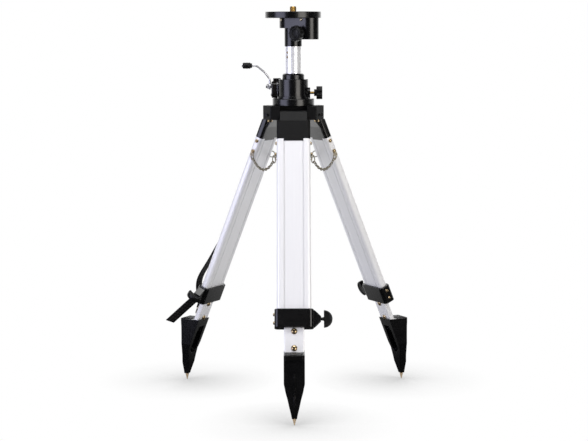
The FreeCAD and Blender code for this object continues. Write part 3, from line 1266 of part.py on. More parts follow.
def make_grip():
    """Barrel grip that turns on the crank's pin."""
    top = AXLE_HEIGHT + CRANK_RADIUS
    start = grip_start()
    end = start - GRIP_LENGTH
    shoulder = start - GRIP_NECK_LENGTH
    neck = rod(GRIP_NECK_RADIUS, (shoulder - 1, AXLE_Y, top), (start, AXLE_Y, top))
    barrel = rod(GRIP_RADIUS, (end, AXLE_Y, top), (shoulder, AXLE_Y, top))
    barrel = softened(barrel, GRIP_EDGE, lambda edge: len(edge.Vertexes) == 1
                      and abs(edge.CenterOfMass.x - end) < 0.1)
    grip = joined([neck, barrel])
    return grip.cut(rod(CRANK_ROD_RADIUS + RUNNING, (end - 1, AXLE_Y, top), (start + 1, AXLE_Y, top)))


def star(radius, thickness, lobes, dip):
    """Knob disc with rounded lobes, standing on z = 0."""
    disc = Part.makeCylinder(radius, thickness)
    cutter = radius * math.sin(math.pi / lobes) * LOBE_CUTTER_SHARE
    centre = radius + cutter - dip
    cuts = [Part.makeCylinder(cutter, thickness + 2, V(centre * math.cos(2 * math.pi * k / lobes),
                                                      centre * math.sin(2 * math.pi * k / lobes), -1))
            for k in range(lobes)]
    knob = disc.cut(cuts)
    return softened(knob, KNOB_EDGE, lambda edge: abs(edge.tangentAt(edge.FirstParameter).z) < 0.1)


def make_lock():
    """Column lock: the brass screw and its star knob."""
    knob_start = LOCK_KNOB_HUB_START
    hub = rod(LOCK_KNOB_HUB_RADIUS, (knob_start, 0, LOCK_HEIGHT),
              (knob_start + LOCK_KNOB_HUB_LENGTH + 1, 0, LOCK_HEIGHT))
    body = facing(star(LOCK_KNOB_RADIUS, LOCK_KNOB_THICKNESS, LOCK_KNOB_LOBES, LOCK_KNOB_DIP),
                  (knob_start + LOCK_KNOB_HUB_LENGTH, 0, LOCK_HEIGHT), (1, 0, 0))
    screw = rod(LOCK_SCREW_RADIUS, (COLUMN_RADIUS + SEAT, 0, LOCK_HEIGHT),
                (knob_start + LOCK_SCREW_BITE, 0, LOCK_HEIGHT))
    knob = joined([hub, body]).cut(screw)
    return screw, knob


def head_knob_heading():
    """Level direction from the head lobe to its knob."""
    angle = math.radians(HEAD_KNOB_AZIMUTH)
    return V(math.cos(angle), math.sin(angle), 0)


def make_head():
    """Head casting: neck, spigot in the column, block and the side socket lobe."""
    spigot = rod(COLUMN_RADIUS - COLUMN_WALL, (0, 0, COLUMN_TOP - HEAD_SPIGOT_LENGTH), (0, 0, COLUMN_TOP))
    neck = rod(NECK_RADIUS, (0, 0, COLUMN_TOP), (0, 0, BLOCK_TOP))
    block = rod(HEAD_BLOCK_RADIUS, (0, 0, NECK_TOP), (0, 0, BLOCK_TOP))
    lobe = rod(HEAD_LOBE_RADIUS, (HEAD_LOBE_X, HEAD_LOBE_Y, BLOCK_TOP - HEAD_LOBE_HEIGHT),
               (HEAD_LOBE_X, HEAD_LOBE_Y, BLOCK_TOP))
    between = math.hypot(HEAD_LOBE_X, HEAD_LOBE_Y)
    bearing = math.atan2(HEAD_LOBE_Y, HEAD_LOBE_X)
    tilt = math.acos((HEAD_BLOCK_RADIUS - HEAD_LOBE_RADIUS) / between)
    corners = []
    for side in (1, -1):
        angle = bearing + side * tilt
        pair = [(HEAD_BLOCK_RADIUS * math.cos(angle), HEAD_BLOCK_RADIUS * math.sin(angle), NECK_TOP),
                (HEAD_LOBE_X + HEAD_LOBE_RADIUS * math.cos(angle),
                 HEAD_LOBE_Y + HEAD_LOBE_RADIUS * math.sin(angle), NECK_TOP)]
        corners += pair if side > 0 else pair[::-1]
    bridge = prism(corners, (0, 0, HEAD_BLOCK_HEIGHT))
    head = joined([spigot, neck, block, lobe, bridge])
    cuts = [rod(STUD_SHANK_RADIUS, (0, 0, PLATE_TOP - STUD_DEPTH), (0, 0, BLOCK_TOP + 1)),
            rod(SOCKET_RADIUS, (HEAD_LOBE_X, HEAD_LOBE_Y, BLOCK_TOP - HEAD_LOBE_HEIGHT - 1),
                (HEAD_LOBE_X, HEAD_LOBE_Y, BLOCK_TOP - HEAD_LOBE_HEIGHT + SOCKET_DEPTH)),
            head_knob_axis(SOCKET_RADIUS - 3, HEAD_LOBE_RADIUS + 3, HEAD_KNOB_SCREW_RADIUS + RUNNING)]
    cuts += [column_screw_hole(drop) for drop in COLUMN_SCREW_DROPS]
    hole = rod(HEAD_SCREW_SHANK, (0, 0, -HEAD_SCREW_LENGTH - 1), (0, 0, 1))
    cuts += [facing(hole, point, normal) for point, normal in head_screw_places()]
    return head.cut(cuts)


def head_knob_axis(start, end, radius):
    """Rod along the head knob's axis, measured from the lobe's axis."""
    centre = V(HEAD_LOBE_X, HEAD_LOBE_Y, PLATE_TOP - PLATE_THICKNESS - HEAD_KNOB_DROP)
    heading = head_knob_heading()
    return rod(radius, tuple(centre + heading * start), tuple(centre + heading * end))


def head_screw_places():
    """Points and outward directions of the screws round the head block's top."""
    level = BLOCK_TOP - HEAD_SCREW_DROP
    places = []
    for azimuth in HEAD_SCREW_AZIMUTHS:
        angle = math.radians(azimuth)
        outwards = (math.cos(angle), math.sin(angle), 0)
        places.append(((HEAD_BLOCK_RADIUS * outwards[0], HEAD_BLOCK_RADIUS * outwards[1], level), outwards))
    between = math.hypot(HEAD_LOBE_X, HEAD_LOBE_Y)
    angle = math.atan2(HEAD_LOBE_Y, HEAD_LOBE_X) - math.acos((HEAD_BLOCK_RADIUS - HEAD_LOBE_RADIUS) / between)
    outwards = (math.cos(angle), math.sin(angle), 0)
    radius = HEAD_BLOCK_RADIUS + BRIDGE_SCREW_SHARE * (HEAD_LOBE_RADIUS - HEAD_BLOCK_RADIUS)
    places.append(((BRIDGE_SCREW_SHARE * HEAD_LOBE_X + radius * outwards[0],
                    BRIDGE_SCREW_SHARE * HEAD_LOBE_Y + radius * outwards[1], level), outwards))
    return places


def make_head_screws():
    """Small domed screws round the head block, under the plate."""
    screw = domed_screw(HEAD_SCREW_RADIUS, HEAD_SCREW_HEAD_HEIGHT, HEAD_SCREW_SHANK, HEAD_SCREW_LENGTH)
    return [facing(screw, point, outwards) for point, outwards in head_screw_places()]


def make_plate():
    """Round head plate that the instrument stands on."""
    plate = rod(PLATE_RADIUS, (0, 0, BLOCK_TOP), (0, 0, PLATE_TOP))
    plate = softened(plate, PLATE_EDGE, lambda edge: len(edge.Vertexes) == 1)
    hole = rod(STUD_SHANK_RADIUS, (0, 0, BLOCK_TOP - 1), (0, 0, PLATE_TOP + 1))
    recess = rod(STUD_RADIUS + STUD_RECESS_GAP, (0, 0, PLATE_TOP - STUD_RELIEF), (0, 0, PLATE_TOP + 1))
    return plate.cut([hole, recess])


def make_stud():
    """Instrument stud: a shank in the plate, a relief and the thread's outer size above it."""
    shank = rod(STUD_SHANK_RADIUS, (0, 0, PLATE_TOP - STUD_DEPTH), (0, 0, PLATE_TOP + STUD_RELIEF))
    thread = rod(STUD_RADIUS, (0, 0, PLATE_TOP + STUD_RELIEF), (0, 0, PLATE_TOP + STUD_PROUD))
    stud = joined([shank, thread])
    top = [edge for edge in stud.Edges if len(edge.Vertexes) == 1
           and edge.CenterOfMass.z > PLATE_TOP + STUD_PROUD - STUD_CHAMFER]
    return stud.makeChamfer(STUD_CHAMFER, top)


def make_head_knob():
    """Scalloped clamp knob of the side socket with its moulded-in screw."""
    centre = V(HEAD_LOBE_X, HEAD_LOBE_Y, PLATE_TOP - PLATE_THICKNESS - HEAD_KNOB_DROP)
    heading = head_knob_heading()
    disc = facing(star(HEAD_KNOB_RADIUS, HEAD_KNOB_THICKNESS, HEAD_KNOB_FLUTES, HEAD_KNOB_DIP),
                  tuple(centre + heading * HEAD_KNOB_START), tuple(heading))
    hub = head_knob_axis(HEAD_LOBE_RADIUS + HEAD_KNOB_GAP, HEAD_KNOB_START + 1, HEAD_KNOB_HUB_RADIUS)
    screw = head_knob_axis(SOCKET_RADIUS + HEAD_KNOB_GAP, HEAD_KNOB_START + 1, HEAD_KNOB_SCREW_RADIUS)
    return joined([disc, hub, screw])


def leg_nodes(leg):
    """Nodes of one leg, by name."""
    turn = LEG_TURNS[leg]
    nodes = {
        "leg_tube": on_leg(make_leg_tube(), leg),
        "leg_top_casting": on_leg(make_top_casting(), leg),
        "leg_screws": group(on_leg(screw, leg) for screw in make_leg_screws()),
        "leg_clamp": on_leg(make_clamp(), leg),
        "chain_rings": group(turned(piece, turn) for piece in make_rings()),
        "wing_knob": on_leg(make_wing(WING_REST_TURNS[leg]), leg),
        "slider": on_leg(make_slider(), leg),
        "shoe": turned(make_shoe(), turn),
        "shoe_bolts": group(on_leg(bolt, leg) for bolt in make_shoe_bolts()),
        "spike": turned(spike_shape(SPIKE_SHANK_RADIUS), turn),
    }
    return {name + "_" + leg: shape for name, shape in nodes.items()}


def hub_nodes():
    """Nodes of the hub and everything fixed to it."""
    turns = list(LEG_TURNS.values())
    return {
        "spider": make_spider(),
        "hub_housing": make_hub(),
        "hub_collar": make_collar(),
        "guide_bushes": group(make_bushes()),
        "gearbox_housing": make_gearbox(),
        "gearbox_cover": group(make_gearbox_cover()),
        "gearbox_screws": group(make_gearbox_screws()),
        "hinge_pins": group(turned(hinge_pin(HINGE_PIN_RADIUS, HINGE_PIN_LENGTH), turn) for turn in turns),
        "lobe_bolts": group(turned(make_lobe_bolt(), turn) for turn in turns),
        "lobe_nuts": group(turned(make_lobe_nut(), turn) for turn in turns),
        "leg_chains": group(turned(link, turn) for turn in turns for link in make_chain()),
    }


def column_nodes():
    """Nodes that rise with the column."""
    return {
        "column_tube": make_column(),
        "rack": make_rack(),
        "column_screws": group(make_column_screws()),
        "column_foot": make_column_foot(),
        "head_casting": make_head(),
        "head_screws": group(make_head_screws()),
        "head_plate": make_plate(),
        "instrument_stud": make_stud(),
    }


def control_nodes():
    """Crank, locks and knobs."""
    lock_screw, lock_knob = make_lock()
    return {
        "pinion_shaft": make_pinion(),
        "crank_arm": make_crank(),
        "crank_nut": make_crank_nut(),
        "crank_grip": make_grip(),
        "lock_screw": lock_screw,
        "lock_knob": lock_knob,
        "head_knob": make_head_knob(),
    }


def strap_nodes():
    """Tie strap on the left leg."""
    return {
        "strap_upper": on_leg(make_strap(), "left"),
        "strap_buckle": on_leg(make_buckle(), "left"),
        "strap_lower": on_leg(make_lower_strap(), "left"),
        "strap_ring": group(on_leg(piece, "left") for piece in make_square_ring()),
    }


def main():
    """Writes one STEP file for each node."""
    os.makedirs("parts", exist_ok=True)
    nodes = {}
    for leg in LEG_TURNS:
        nodes.update(leg_nodes(leg))
    for more in (hub_nodes(), column_nodes(), control_nodes(), strap_nodes()):
        nodes.update(more)
    for name, shape in nodes.items():
        shape.exportStep(os.path.join("parts", name + ".step"))
        print(name, len(shape.Solids), round(shape.Volume), shape.isValid())


main()
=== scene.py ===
"""Looks of an elevating tripod, dressed round its packed construction frame."""

from __future__ import annotations

import json
import logging
import math
from dataclasses import dataclass, field
from enum import Enum
from typing import Callable, Sequence

import bmesh
import bpy
from mathutils import Euler, Matrix, Vector


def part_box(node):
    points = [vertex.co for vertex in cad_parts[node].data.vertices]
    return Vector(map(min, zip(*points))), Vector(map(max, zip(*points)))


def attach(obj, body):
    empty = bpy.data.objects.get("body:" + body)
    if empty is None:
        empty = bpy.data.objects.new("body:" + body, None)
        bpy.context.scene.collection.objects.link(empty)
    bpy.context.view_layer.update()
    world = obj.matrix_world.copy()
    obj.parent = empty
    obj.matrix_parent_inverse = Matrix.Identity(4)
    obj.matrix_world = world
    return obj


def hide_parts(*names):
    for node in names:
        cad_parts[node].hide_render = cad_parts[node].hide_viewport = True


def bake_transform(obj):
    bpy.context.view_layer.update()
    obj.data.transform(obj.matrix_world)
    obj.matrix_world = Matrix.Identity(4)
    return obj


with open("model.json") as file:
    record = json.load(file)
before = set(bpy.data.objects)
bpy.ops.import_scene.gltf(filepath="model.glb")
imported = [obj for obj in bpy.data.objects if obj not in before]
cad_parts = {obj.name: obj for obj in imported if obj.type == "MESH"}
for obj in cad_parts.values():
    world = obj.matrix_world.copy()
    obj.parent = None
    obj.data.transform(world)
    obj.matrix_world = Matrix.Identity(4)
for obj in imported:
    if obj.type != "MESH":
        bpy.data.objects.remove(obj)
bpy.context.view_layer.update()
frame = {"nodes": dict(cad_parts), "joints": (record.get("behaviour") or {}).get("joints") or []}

LOG = logging.getLogger("tripod")
MM = 0.001
X_AXIS = Vector((1, 0, 0))
Z_AXIS = Vector((0, 0, 1))


# Colour and shader nodes


def linear(colour: str) -> tuple[float, float, float, float]:
    """Turns an sRGB hex colour into linear light.

    Args:
        colour: A colour such as "#8FA0B0".

    Returns:
        Red, green, blue and alpha in linear light.
    """
    channels = [int(colour[place:place + 2], 16) / 255 for place in (1, 3, 5)]
    return (*(c / 12.92 if c <= 0.04045 else ((c + 0.055) / 1.055) ** 2.4 for c in channels), 1.0)


def add_node(tree: bpy.types.NodeTree, kind: str, inputs: dict | None = None, **settings) -> bpy.types.Node:
    """Adds a node with its settings, values and links.

    Args:
        tree: The node tree to add to.
        kind: Blender's name of the node type.
        inputs: Input sockets by name or place, each with a value or the socket that feeds it.
        **settings: The node's own properties.

    Returns:
        The new node.
    """
    node = tree.nodes.new(kind)
    for name, value in settings.items():
        setattr(node, name, value)
    for name, value in (inputs or {}).items():
        if isinstance(value, bpy.types.NodeSocket):
            tree.links.new(value, node.inputs[name])
        else:
            node.inputs[name].default_value = value
    return node


def grain(size_mm: float) -> float:
    """Noise scale, in metres, whose grains are this many millimetres."""
    return 1 / (size_mm * MM)


@dataclass(frozen=True)
class Finish:
    """What every finish has: a name, its slot in the record and its plain shader values."""

    title: str
    slot: str
    colour: str
    roughness: float
    metallic: float = 0.0
    ior: float = 1.5

    def material(self) -> bpy.types.Material:
        """The finish's material, made on first use."""
        found = bpy.data.materials.get(self.title)
        if found:
            return found
        made = bpy.data.materials.new(self.title)
        made.use_nodes = True
        made.diffuse_color = linear(self.colour)
        tree = made.node_tree
        tree.nodes.clear()
        values = {"Base Color": linear(self.colour), "Roughness": self.roughness, "Metallic": self.metallic}
        if self.metallic < 1:
            values["IOR"] = self.ior
        shader = add_node(tree, "ShaderNodeBsdfPrincipled", values)
        add_node(tree, "ShaderNodeOutputMaterial", {"Surface": shader.outputs["BSDF"]})
        self.dress(tree, shader)
        return made

    def dress(self, tree: bpy.types.NodeTree, shader: bpy.types.Node) -> None:
        """Adds the finish's own pattern to a shader."""

    def vary(self, tree: bpy.types.NodeTree, shader: bpy.types.Node, pattern: bpy.types.NodeSocket,
             other: str, roughness: tuple[float, float]) -> None:
        """Varies colour and roughness with a pattern from 0 to 1.

        Args:
            tree: The material's node tree.
            shader: Its shader.
            pattern: The pattern's socket.
            other: The colour at the pattern's high end, as hex.
            roughness: Roughness at the pattern's low and high ends.
        """
        mix = add_node(tree, "ShaderNodeMix", {"Factor": pattern}, data_type="RGBA")
        mix.inputs[6].default_value = linear(self.colour)
        mix.inputs[7].default_value = linear(other)
        tree.links.new(mix.outputs[2], shader.inputs["Base Color"])
        tree.links.new(ramp(tree, pattern, (0.0, 1.0, *roughness)), shader.inputs["Roughness"])


def object_point(tree: bpy.types.NodeTree) -> bpy.types.NodeSocket:
    """Socket of the piece's own coordinates, in metres."""
    return add_node(tree, "ShaderNodeTexCoord").outputs["Object"]


def noise(tree: bpy.types.NodeTree, point: bpy.types.NodeSocket, size_mm: float, detail: float = 2.0
          ) -> bpy.types.NodeSocket:
    """Socket of a noise with grains of this size, from 0 to 1."""
    made = add_node(tree, "ShaderNodeTexNoise", {"Vector": point, "Scale": grain(size_mm), "Detail": detail})
    return made.outputs["Fac"]


def ramp(tree: bpy.types.NodeTree, value: bpy.types.NodeSocket, ends: tuple[float, float, float, float],
         **settings) -> bpy.types.NodeSocket:
    """Socket that carries a value from its first two ends to the last two."""
    names = ("From Min", "From Max", "To Min", "To Max")
    inputs = {"Value": value, **dict(zip(names, ends))}
    return add_node(tree, "ShaderNodeMapRange", inputs, **settings).outputs["Result"]


def strongest(tree: bpy.types.NodeTree, *sockets: bpy.types.NodeSocket) -> bpy.types.NodeSocket:
    """Socket of the largest of several values."""
    best = sockets[0]
    for socket in sockets[1:]:
        best = add_node(tree, "ShaderNodeMath", {0: best, 1: socket}, operation="MAXIMUM").outputs[0]
    return best


def relief(tree: bpy.types.NodeTree, shader: bpy.types.Node, height: bpy.types.NodeSocket, depth_mm: float,
           edge_mm: float = 0.0) -> None:
    """Gives a shader a fine relief, and softened edges where edge_mm is above 0.

    Args:
        tree: The material's node tree.
        shader: Its shader.
        height: Relief from 0 to 1.
        depth_mm: Depth of the relief.
        edge_mm: Radius that worn or cast edges catch the light with.
    """
    bump = add_node(tree, "ShaderNodeBump", {"Height": height, "Distance": depth_mm * MM, "Strength": 1.0})
    if edge_mm > 0:
        rounded = add_node(tree, "ShaderNodeBevel", {"Radius": edge_mm * MM}, samples=4)
        tree.links.new(rounded.outputs["Normal"], bump.inputs["Normal"])
    tree.links.new(bump.outputs["Normal"], shader.inputs["Normal"])


@dataclass(frozen=True)
class CastEnamel(Finish):
    """Semi-gloss black enamel, sprayed on a sand-smooth aluminium casting.

    It gives deep black with clear but soft highlights, and a faint orange peel.
    """

    peel_mm: float = 2.6
    cloud_mm: float = 30.0

    def dress(self, tree: bpy.types.NodeTree, shader: bpy.types.Node) -> None:
        """Orange peel, slow clouds in the gloss and softened cast edges."""
        point = object_point(tree)
        self.vary(tree, shader, noise(tree, point, self.cloud_mm), "#070708",
                  (self.roughness - 0.05, self.roughness + 0.08))
        relief(tree, shader, noise(tree, point, self.peel_mm), 0.035, 0.9)


@dataclass(frozen=True)
class Extrusion(Finish):
    """Satin anodised aluminium extrusion.

    It gives a pale matt metal with faint die lines that run along the leg.
    """

    turn: float = 0.0
    lean: float = 0.0
    line_mm: float = 0.9
    run_mm: float = 260.0

    def dress(self, tree: bpy.types.NodeTree, shader: bpy.types.Node) -> None:
        """Die lines along the leg, in tint, gloss and a little in relief."""
        upright = (Matrix.Rotation(self.lean, 3, "X") @ Matrix.Rotation(-self.turn, 3, "Z")).to_euler()
        along = add_node(tree, "ShaderNodeMapping", {"Vector": object_point(tree), "Rotation": upright})
        stretch = (grain(self.line_mm), grain(self.line_mm), grain(self.run_mm))
        lines = add_node(tree, "ShaderNodeMapping", {"Vector": along.outputs["Vector"], "Scale": stretch})
        pattern = add_node(tree, "ShaderNodeTexNoise", {"Vector": lines.outputs["Vector"], "Scale": 1.0,
                                                        "Detail": 3.0}).outputs["Fac"]
        self.vary(tree, shader, pattern, "#D8D8DA", (self.roughness - 0.06, self.roughness + 0.08))
        relief(tree, shader, pattern, 0.006, 0.4)


@dataclass(frozen=True)
class TurnedMetal(Finish):
    """Bare or plated metal with fine rings left by turning or drawing.

    It gives a bright surface whose reflections are drawn out a little round the piece.
    """

    other: str = "#D0D0D0"
    ring_mm: float = 0.5
    spread_mm: float = 30.0
    depth_mm: float = 0.003
    edge_mm: float = 0.25

    def dress(self, tree: bpy.types.NodeTree, shader: bpy.types.Node) -> None:
        """Fine rings across the upright axis, in tint, gloss and relief."""
        stretch = (grain(self.spread_mm), grain(self.spread_mm), grain(self.ring_mm))
        rings = add_node(tree, "ShaderNodeMapping", {"Vector": object_point(tree), "Scale": stretch})
        pattern = add_node(tree, "ShaderNodeTexNoise", {"Vector": rings.outputs["Vector"], "Scale": 1.0,
                                                        "Detail": 2.0}).outputs["Fac"]
        self.vary(tree, shader, pattern, self.other, (self.roughness * 0.8, self.roughness * 1.25))
        relief(tree, shader, pattern, self.depth_mm, self.edge_mm)


@dataclass(frozen=True)
class PlatedSteel(Finish):
    """Steel or brass with a thin plating, tumbled in a barrel.

    It gives a clear metal with small clouds in its tint.
    """

    other: str = "#B09A66"
    cloud_mm: float = 2.2

    def dress(self, tree: bpy.types.NodeTree, shader: bpy.types.Node) -> None:
        """Small clouds in tint and gloss, and rolled edges."""
        clouds = noise(tree, object_point(tree), self.cloud_mm, 3.0)
        self.vary(tree, shader, clouds, self.other, (self.roughness * 0.75, self.roughness * 1.3))
        relief(tree, shader, clouds, 0.01, 0.2)


@dataclass(frozen=True)
class MouldedPlastic(Finish):
    """Injection-moulded plastic from a lightly eroded mould.

    It gives a black or brown skin with a fine dull grain and a soft sheen.
    """

    grain_mm: float = 0.7
    cloud_mm: float = 14.0

    def dress(self, tree: bpy.types.NodeTree, shader: bpy.types.Node) -> None:
        """Mould grain in relief, slow clouds in gloss."""
        point = object_point(tree)
        clouds = noise(tree, point, self.cloud_mm)
        self.vary(tree, shader, clouds, "#0C0C0C", (self.roughness - 0.06, self.roughness + 0.08))
        relief(tree, shader, noise(tree, point, self.grain_mm), 0.02, 0.4)


@dataclass(frozen=True)
class WovenWebbing(Finish):
    """Flat woven polypropylene webbing.

    It gives rows of small raised threads with a dry sheen. Its UV map is in metres, across and along.
    """

    thread_mm: float = 1.5

    def dress(self, tree: bpy.types.NodeTree, shader: bpy.types.Node) -> None:
        """Threads across and along, drawn as coarse as they need to show."""
        own = add_node(tree, "ShaderNodeUVMap", uv_map="Threads").outputs["UV"]
        waves = [add_node(tree, "ShaderNodeTexWave", {"Vector": own, "Scale": grain(self.thread_mm) / 20,
                                                      "Distortion": 0.3}, bands_direction=way).outputs["Fac"]
                 for way in ("X", "Y")]
        weave = add_node(tree, "ShaderNodeMath", {0: waves[0], 1: waves[1]}, operation="MULTIPLY").outputs[0]
        self.vary(tree, shader, weave, "#2A2624", (0.8, 0.62))
        relief(tree, shader, weave, 0.35)


ENAMEL = CastEnamel("black enamel on cast aluminium", "black_enamel", "#030304", 0.22, ior=1.57)
# Dimmed copy of the black enamel, with a lower and wider gloss. It paints shade on the spider and on the
# front leg's top casting, which carry the same enamel as the other castings.
SHADED_ENAMEL = CastEnamel("matt black enamel on cast aluminium", "black_enamel", "#020202", 0.5, ior=1.3)
BRIGHT = TurnedMetal("polished drawn aluminium", "bright_aluminium", "#F2F2F4", 0.2, 0.42, other="#E4E4E6")
BRASS = TurnedMetal("turned brass", "brass_screws", "#C9A865", 0.24, 1.0, other="#B8924C", ring_mm=0.4)
SCREW = PlatedSteel("yellow-tinted zinc on steel", "brass_screws", "#E0CDA8", 0.2, 1.0, other="#BFA47A")
PALE_SCREW = PlatedSteel("pale zinc on steel", "pale_screws", "#E4DCC4", 0.34, 1.0, other="#CFC29C")
STEEL = PlatedSteel("bright zinc on steel", "steel", "#C6C6C8", 0.28, 1.0, other="#A8A8AC")
PIN = PlatedSteel("black oxide on steel", "steel", "#1A1A1B", 0.4, 0.6, other="#101011")
NICKEL = PlatedSteel("nickel on drawn wire", "steel", "#B8B09C", 0.3, 1.0, other="#7D7460", cloud_mm=3.0)
CHROME = PlatedSteel("bright chrome on steel", "chrome", "#E6E6E8", 0.2, 0.7, other="#D6D6D9", cloud_mm=6.0)
KNOB = MouldedPlastic("moulded black nylon", "knob_plastic", "#050505", 0.36, ior=1.36)
COVER = MouldedPlastic("moulded brown-black plastic", "cover_plastic", "#120A05", 0.3)
BUCKLE = MouldedPlastic("moulded black acetal", "buckle_plastic", "#040404", 0.5, ior=1.35)
BUSH = MouldedPlastic("natural acetal", "bush_plastic", "#D8D2C4", 0.45)
SPIKE = TurnedMetal("tan passivated steel", "spike_steel", "#DCC6A4", 0.36, 0.5, other="#C8B08C", ring_mm=0.6)
WEBBING = WovenWebbing("black woven webbing", "webbing", "#0B0A0A", 0.75)


# Hand tools for modelling


def deselect() -> None:
    """Leaves edit mode and deselects everything."""
    if bpy.context.mode != "OBJECT":
        bpy.ops.object.mode_set(mode="OBJECT")
    bpy.ops.object.select_all(action="DESELECT")


def take(piece: bpy.types.Object) -> None:
    """Makes a piece the only selected and active one."""
    deselect()
    piece.select_set(True)
    bpy.context.view_layer.objects.active = piece


def edit(piece: bpy.types.Object) -> None:
    """Opens a piece in edit mode with nothing selected."""
    take(piece)
    bpy.ops.object.mode_set(mode="EDIT")
    bpy.ops.mesh.select_mode(type="FACE")
    bpy.ops.mesh.select_all(action="DESELECT")


def pick_faces(piece: bpy.types.Object, test: Callable[[Vector, Vector], bool]) -> int:
    """Selects faces of the piece in edit mode.

    Args:
        piece: The piece, open in edit mode.
        test: Tells from a face's middle and normal whether it is picked.

    Returns:
        How many faces are picked.
    """
    bpy.ops.mesh.select_mode(type="FACE")
    shape = bmesh.from_edit_mesh(piece.data)
    for face in shape.faces:
        face.select_set(test(face.calc_center_median(), face.normal))
    shape.select_flush_mode()
    bmesh.update_edit_mesh(piece.data)
    return sum(face.select for face in shape.faces)


def pick_edges(piece: bpy.types.Object, test: Callable[[Vector, Vector], bool]) -> int:
    """Selects edges of the piece in edit mode by their two ends."""
    bpy.ops.mesh.select_mode(type="EDGE")
    bpy.ops.mesh.select_all(action="DESELECT")
    shape = bmesh.from_edit_mesh(piece.data)
    for one in shape.edges:
        if test(one.verts[0].co, one.verts[1].co):
            one.select_set(True)
    shape.select_flush_mode()
    bmesh.update_edit_mesh(piece.data)
    return sum(one.select for one in shape.edges)


def close_edit() -> None:
    """Merges doubles, turns the faces outwards and leaves edit mode."""
    bpy.ops.mesh.select_all(action="SELECT")
    bpy.ops.mesh.remove_doubles(threshold=0.005 * MM)
    bpy.ops.mesh.normals_make_consistent(inside=False)
    bpy.ops.object.mode_set(mode="OBJECT")


def modify(piece: bpy.types.Object, kind: str, **settings) -> None:
    """Adds a modifier with its settings and applies it."""
    take(piece)
    modifier = piece.modifiers.new(kind.title(), kind)
    for name, value in settings.items():
        setattr(modifier, name, value)
    bpy.ops.object.modifier_apply(modifier=modifier.name)


def bevelled(piece: bpy.types.Object, width: float, segments: int = 2, angle: float = 35.0
             ) -> bpy.types.Object:
    """Rounds the sharp edges of a piece and smooths its shading."""
    modify(piece, "BEVEL", width=width, segments=segments, limit_method="ANGLE",
           angle_limit=math.radians(angle), use_clamp_overlap=True, harden_normals=False)
    return smoothed(piece)


def smoothed(piece: bpy.types.Object, angle: float = 38.0) -> bpy.types.Object:
    """Shades a piece smooth up to an angle between faces."""
    take(piece)
    bpy.ops.object.shade_smooth_by_angle(angle=math.radians(angle))
    return piece


def settle(piece: bpy.types.Object, matrix: Matrix) -> bpy.types.Object:
    """Carries a piece to its place and leaves that place in its mesh.

    Args:
        piece: A piece modelled round the origin.
        matrix: Where it goes in the row frame.

    Returns:
        The same piece.
    """
    take(piece)
    piece.matrix_world = matrix @ piece.matrix_world
    bpy.context.view_layer.update()
    bpy.ops.object.transform_apply(location=True, rotation=True, scale=True)
    return piece


def copied(piece: bpy.types.Object, name: str, matrix: Matrix) -> bpy.types.Object:
    """Copy of a piece, with its own mesh, in another place."""
    other = piece.copy()
    other.data = piece.data.copy()
    other.name = name
    other.data.name = name
    bpy.context.scene.collection.objects.link(other)
    return settle(other, matrix)


def joined(pieces: Sequence[bpy.types.Object], name: str) -> bpy.types.Object:
    """Joins pieces into one, by the first."""
    take(pieces[0])
    for piece in pieces:
        piece.select_set(True)
    if len(pieces) > 1:
        bpy.ops.object.join()
    made = bpy.context.view_layer.objects.active
    made.name = name
    made.data.name = name
    return made


def removed(piece: bpy.types.Object) -> None:
    """Removes a pattern piece that was only copied."""
    bpy.data.objects.remove(piece)


def along(direction: Vector, start: Vector) -> Matrix:
    """Matrix that stands a piece, built up +Z, at a point along a direction."""
    return Matrix.Translation(start) @ direction.to_track_quat("Z", "Y").to_matrix().to_4x4()


def lathed(name: str, profile: Sequence[tuple[float, float]], sides: int = 48) -> bpy.types.Object:
    """Turned piece round +Z: a round face extruded and scaled from step to step.

    Args:
        name: The piece's name.
        profile: Radius and height of each step, from one closed end to the other.
        sides: Faces round it.

    Returns:
        The piece, shaded smooth.
    """
    radius, height = profile[0]
    bpy.ops.mesh.primitive_circle_add(vertices=sides, radius=radius, fill_type="NGON",
                                      location=(0, 0, height))
    piece = bpy.context.active_object
    piece.name = name
    take(piece)
    bpy.ops.object.transform_apply(location=True)
    edit(piece)
    bpy.ops.mesh.select_all(action="SELECT")
    for wide, high in profile[1:]:
        move = {"value": (0, 0, high - height)}
        bpy.ops.mesh.extrude_region_move(TRANSFORM_OT_translate=move)
        share = wide / radius
        bpy.ops.transform.resize(value=(share, share, 1), center_override=(0, 0, high))
        radius, height = wide, high
    close_edit()
    return smoothed(piece)


def finished(piece: bpy.types.Object, finish: Finish, body: str, *stands_for: str) -> bpy.types.Object:
    """Gives a new piece its finish, its body and the nodes that it stands for."""
    piece.data.materials.clear()
    piece.data.materials.append(finish.material())
    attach(piece, body)
    if stands_for:
        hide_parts(*stands_for)
    LOG.info("made %s on %s", piece.name, body)
    return piece


def dressed(node: str, finish: Finish) -> None:
    """Gives a node of the frame its finish."""
    mesh = frame["nodes"][node].data
    mesh.materials.clear()
    mesh.materials.append(finish.material())


def joint(name: str) -> dict:
    """The frame's joint of this name."""
    return next(one for one in frame["joints"] if one["name"] == name)


# Camera, light and ground


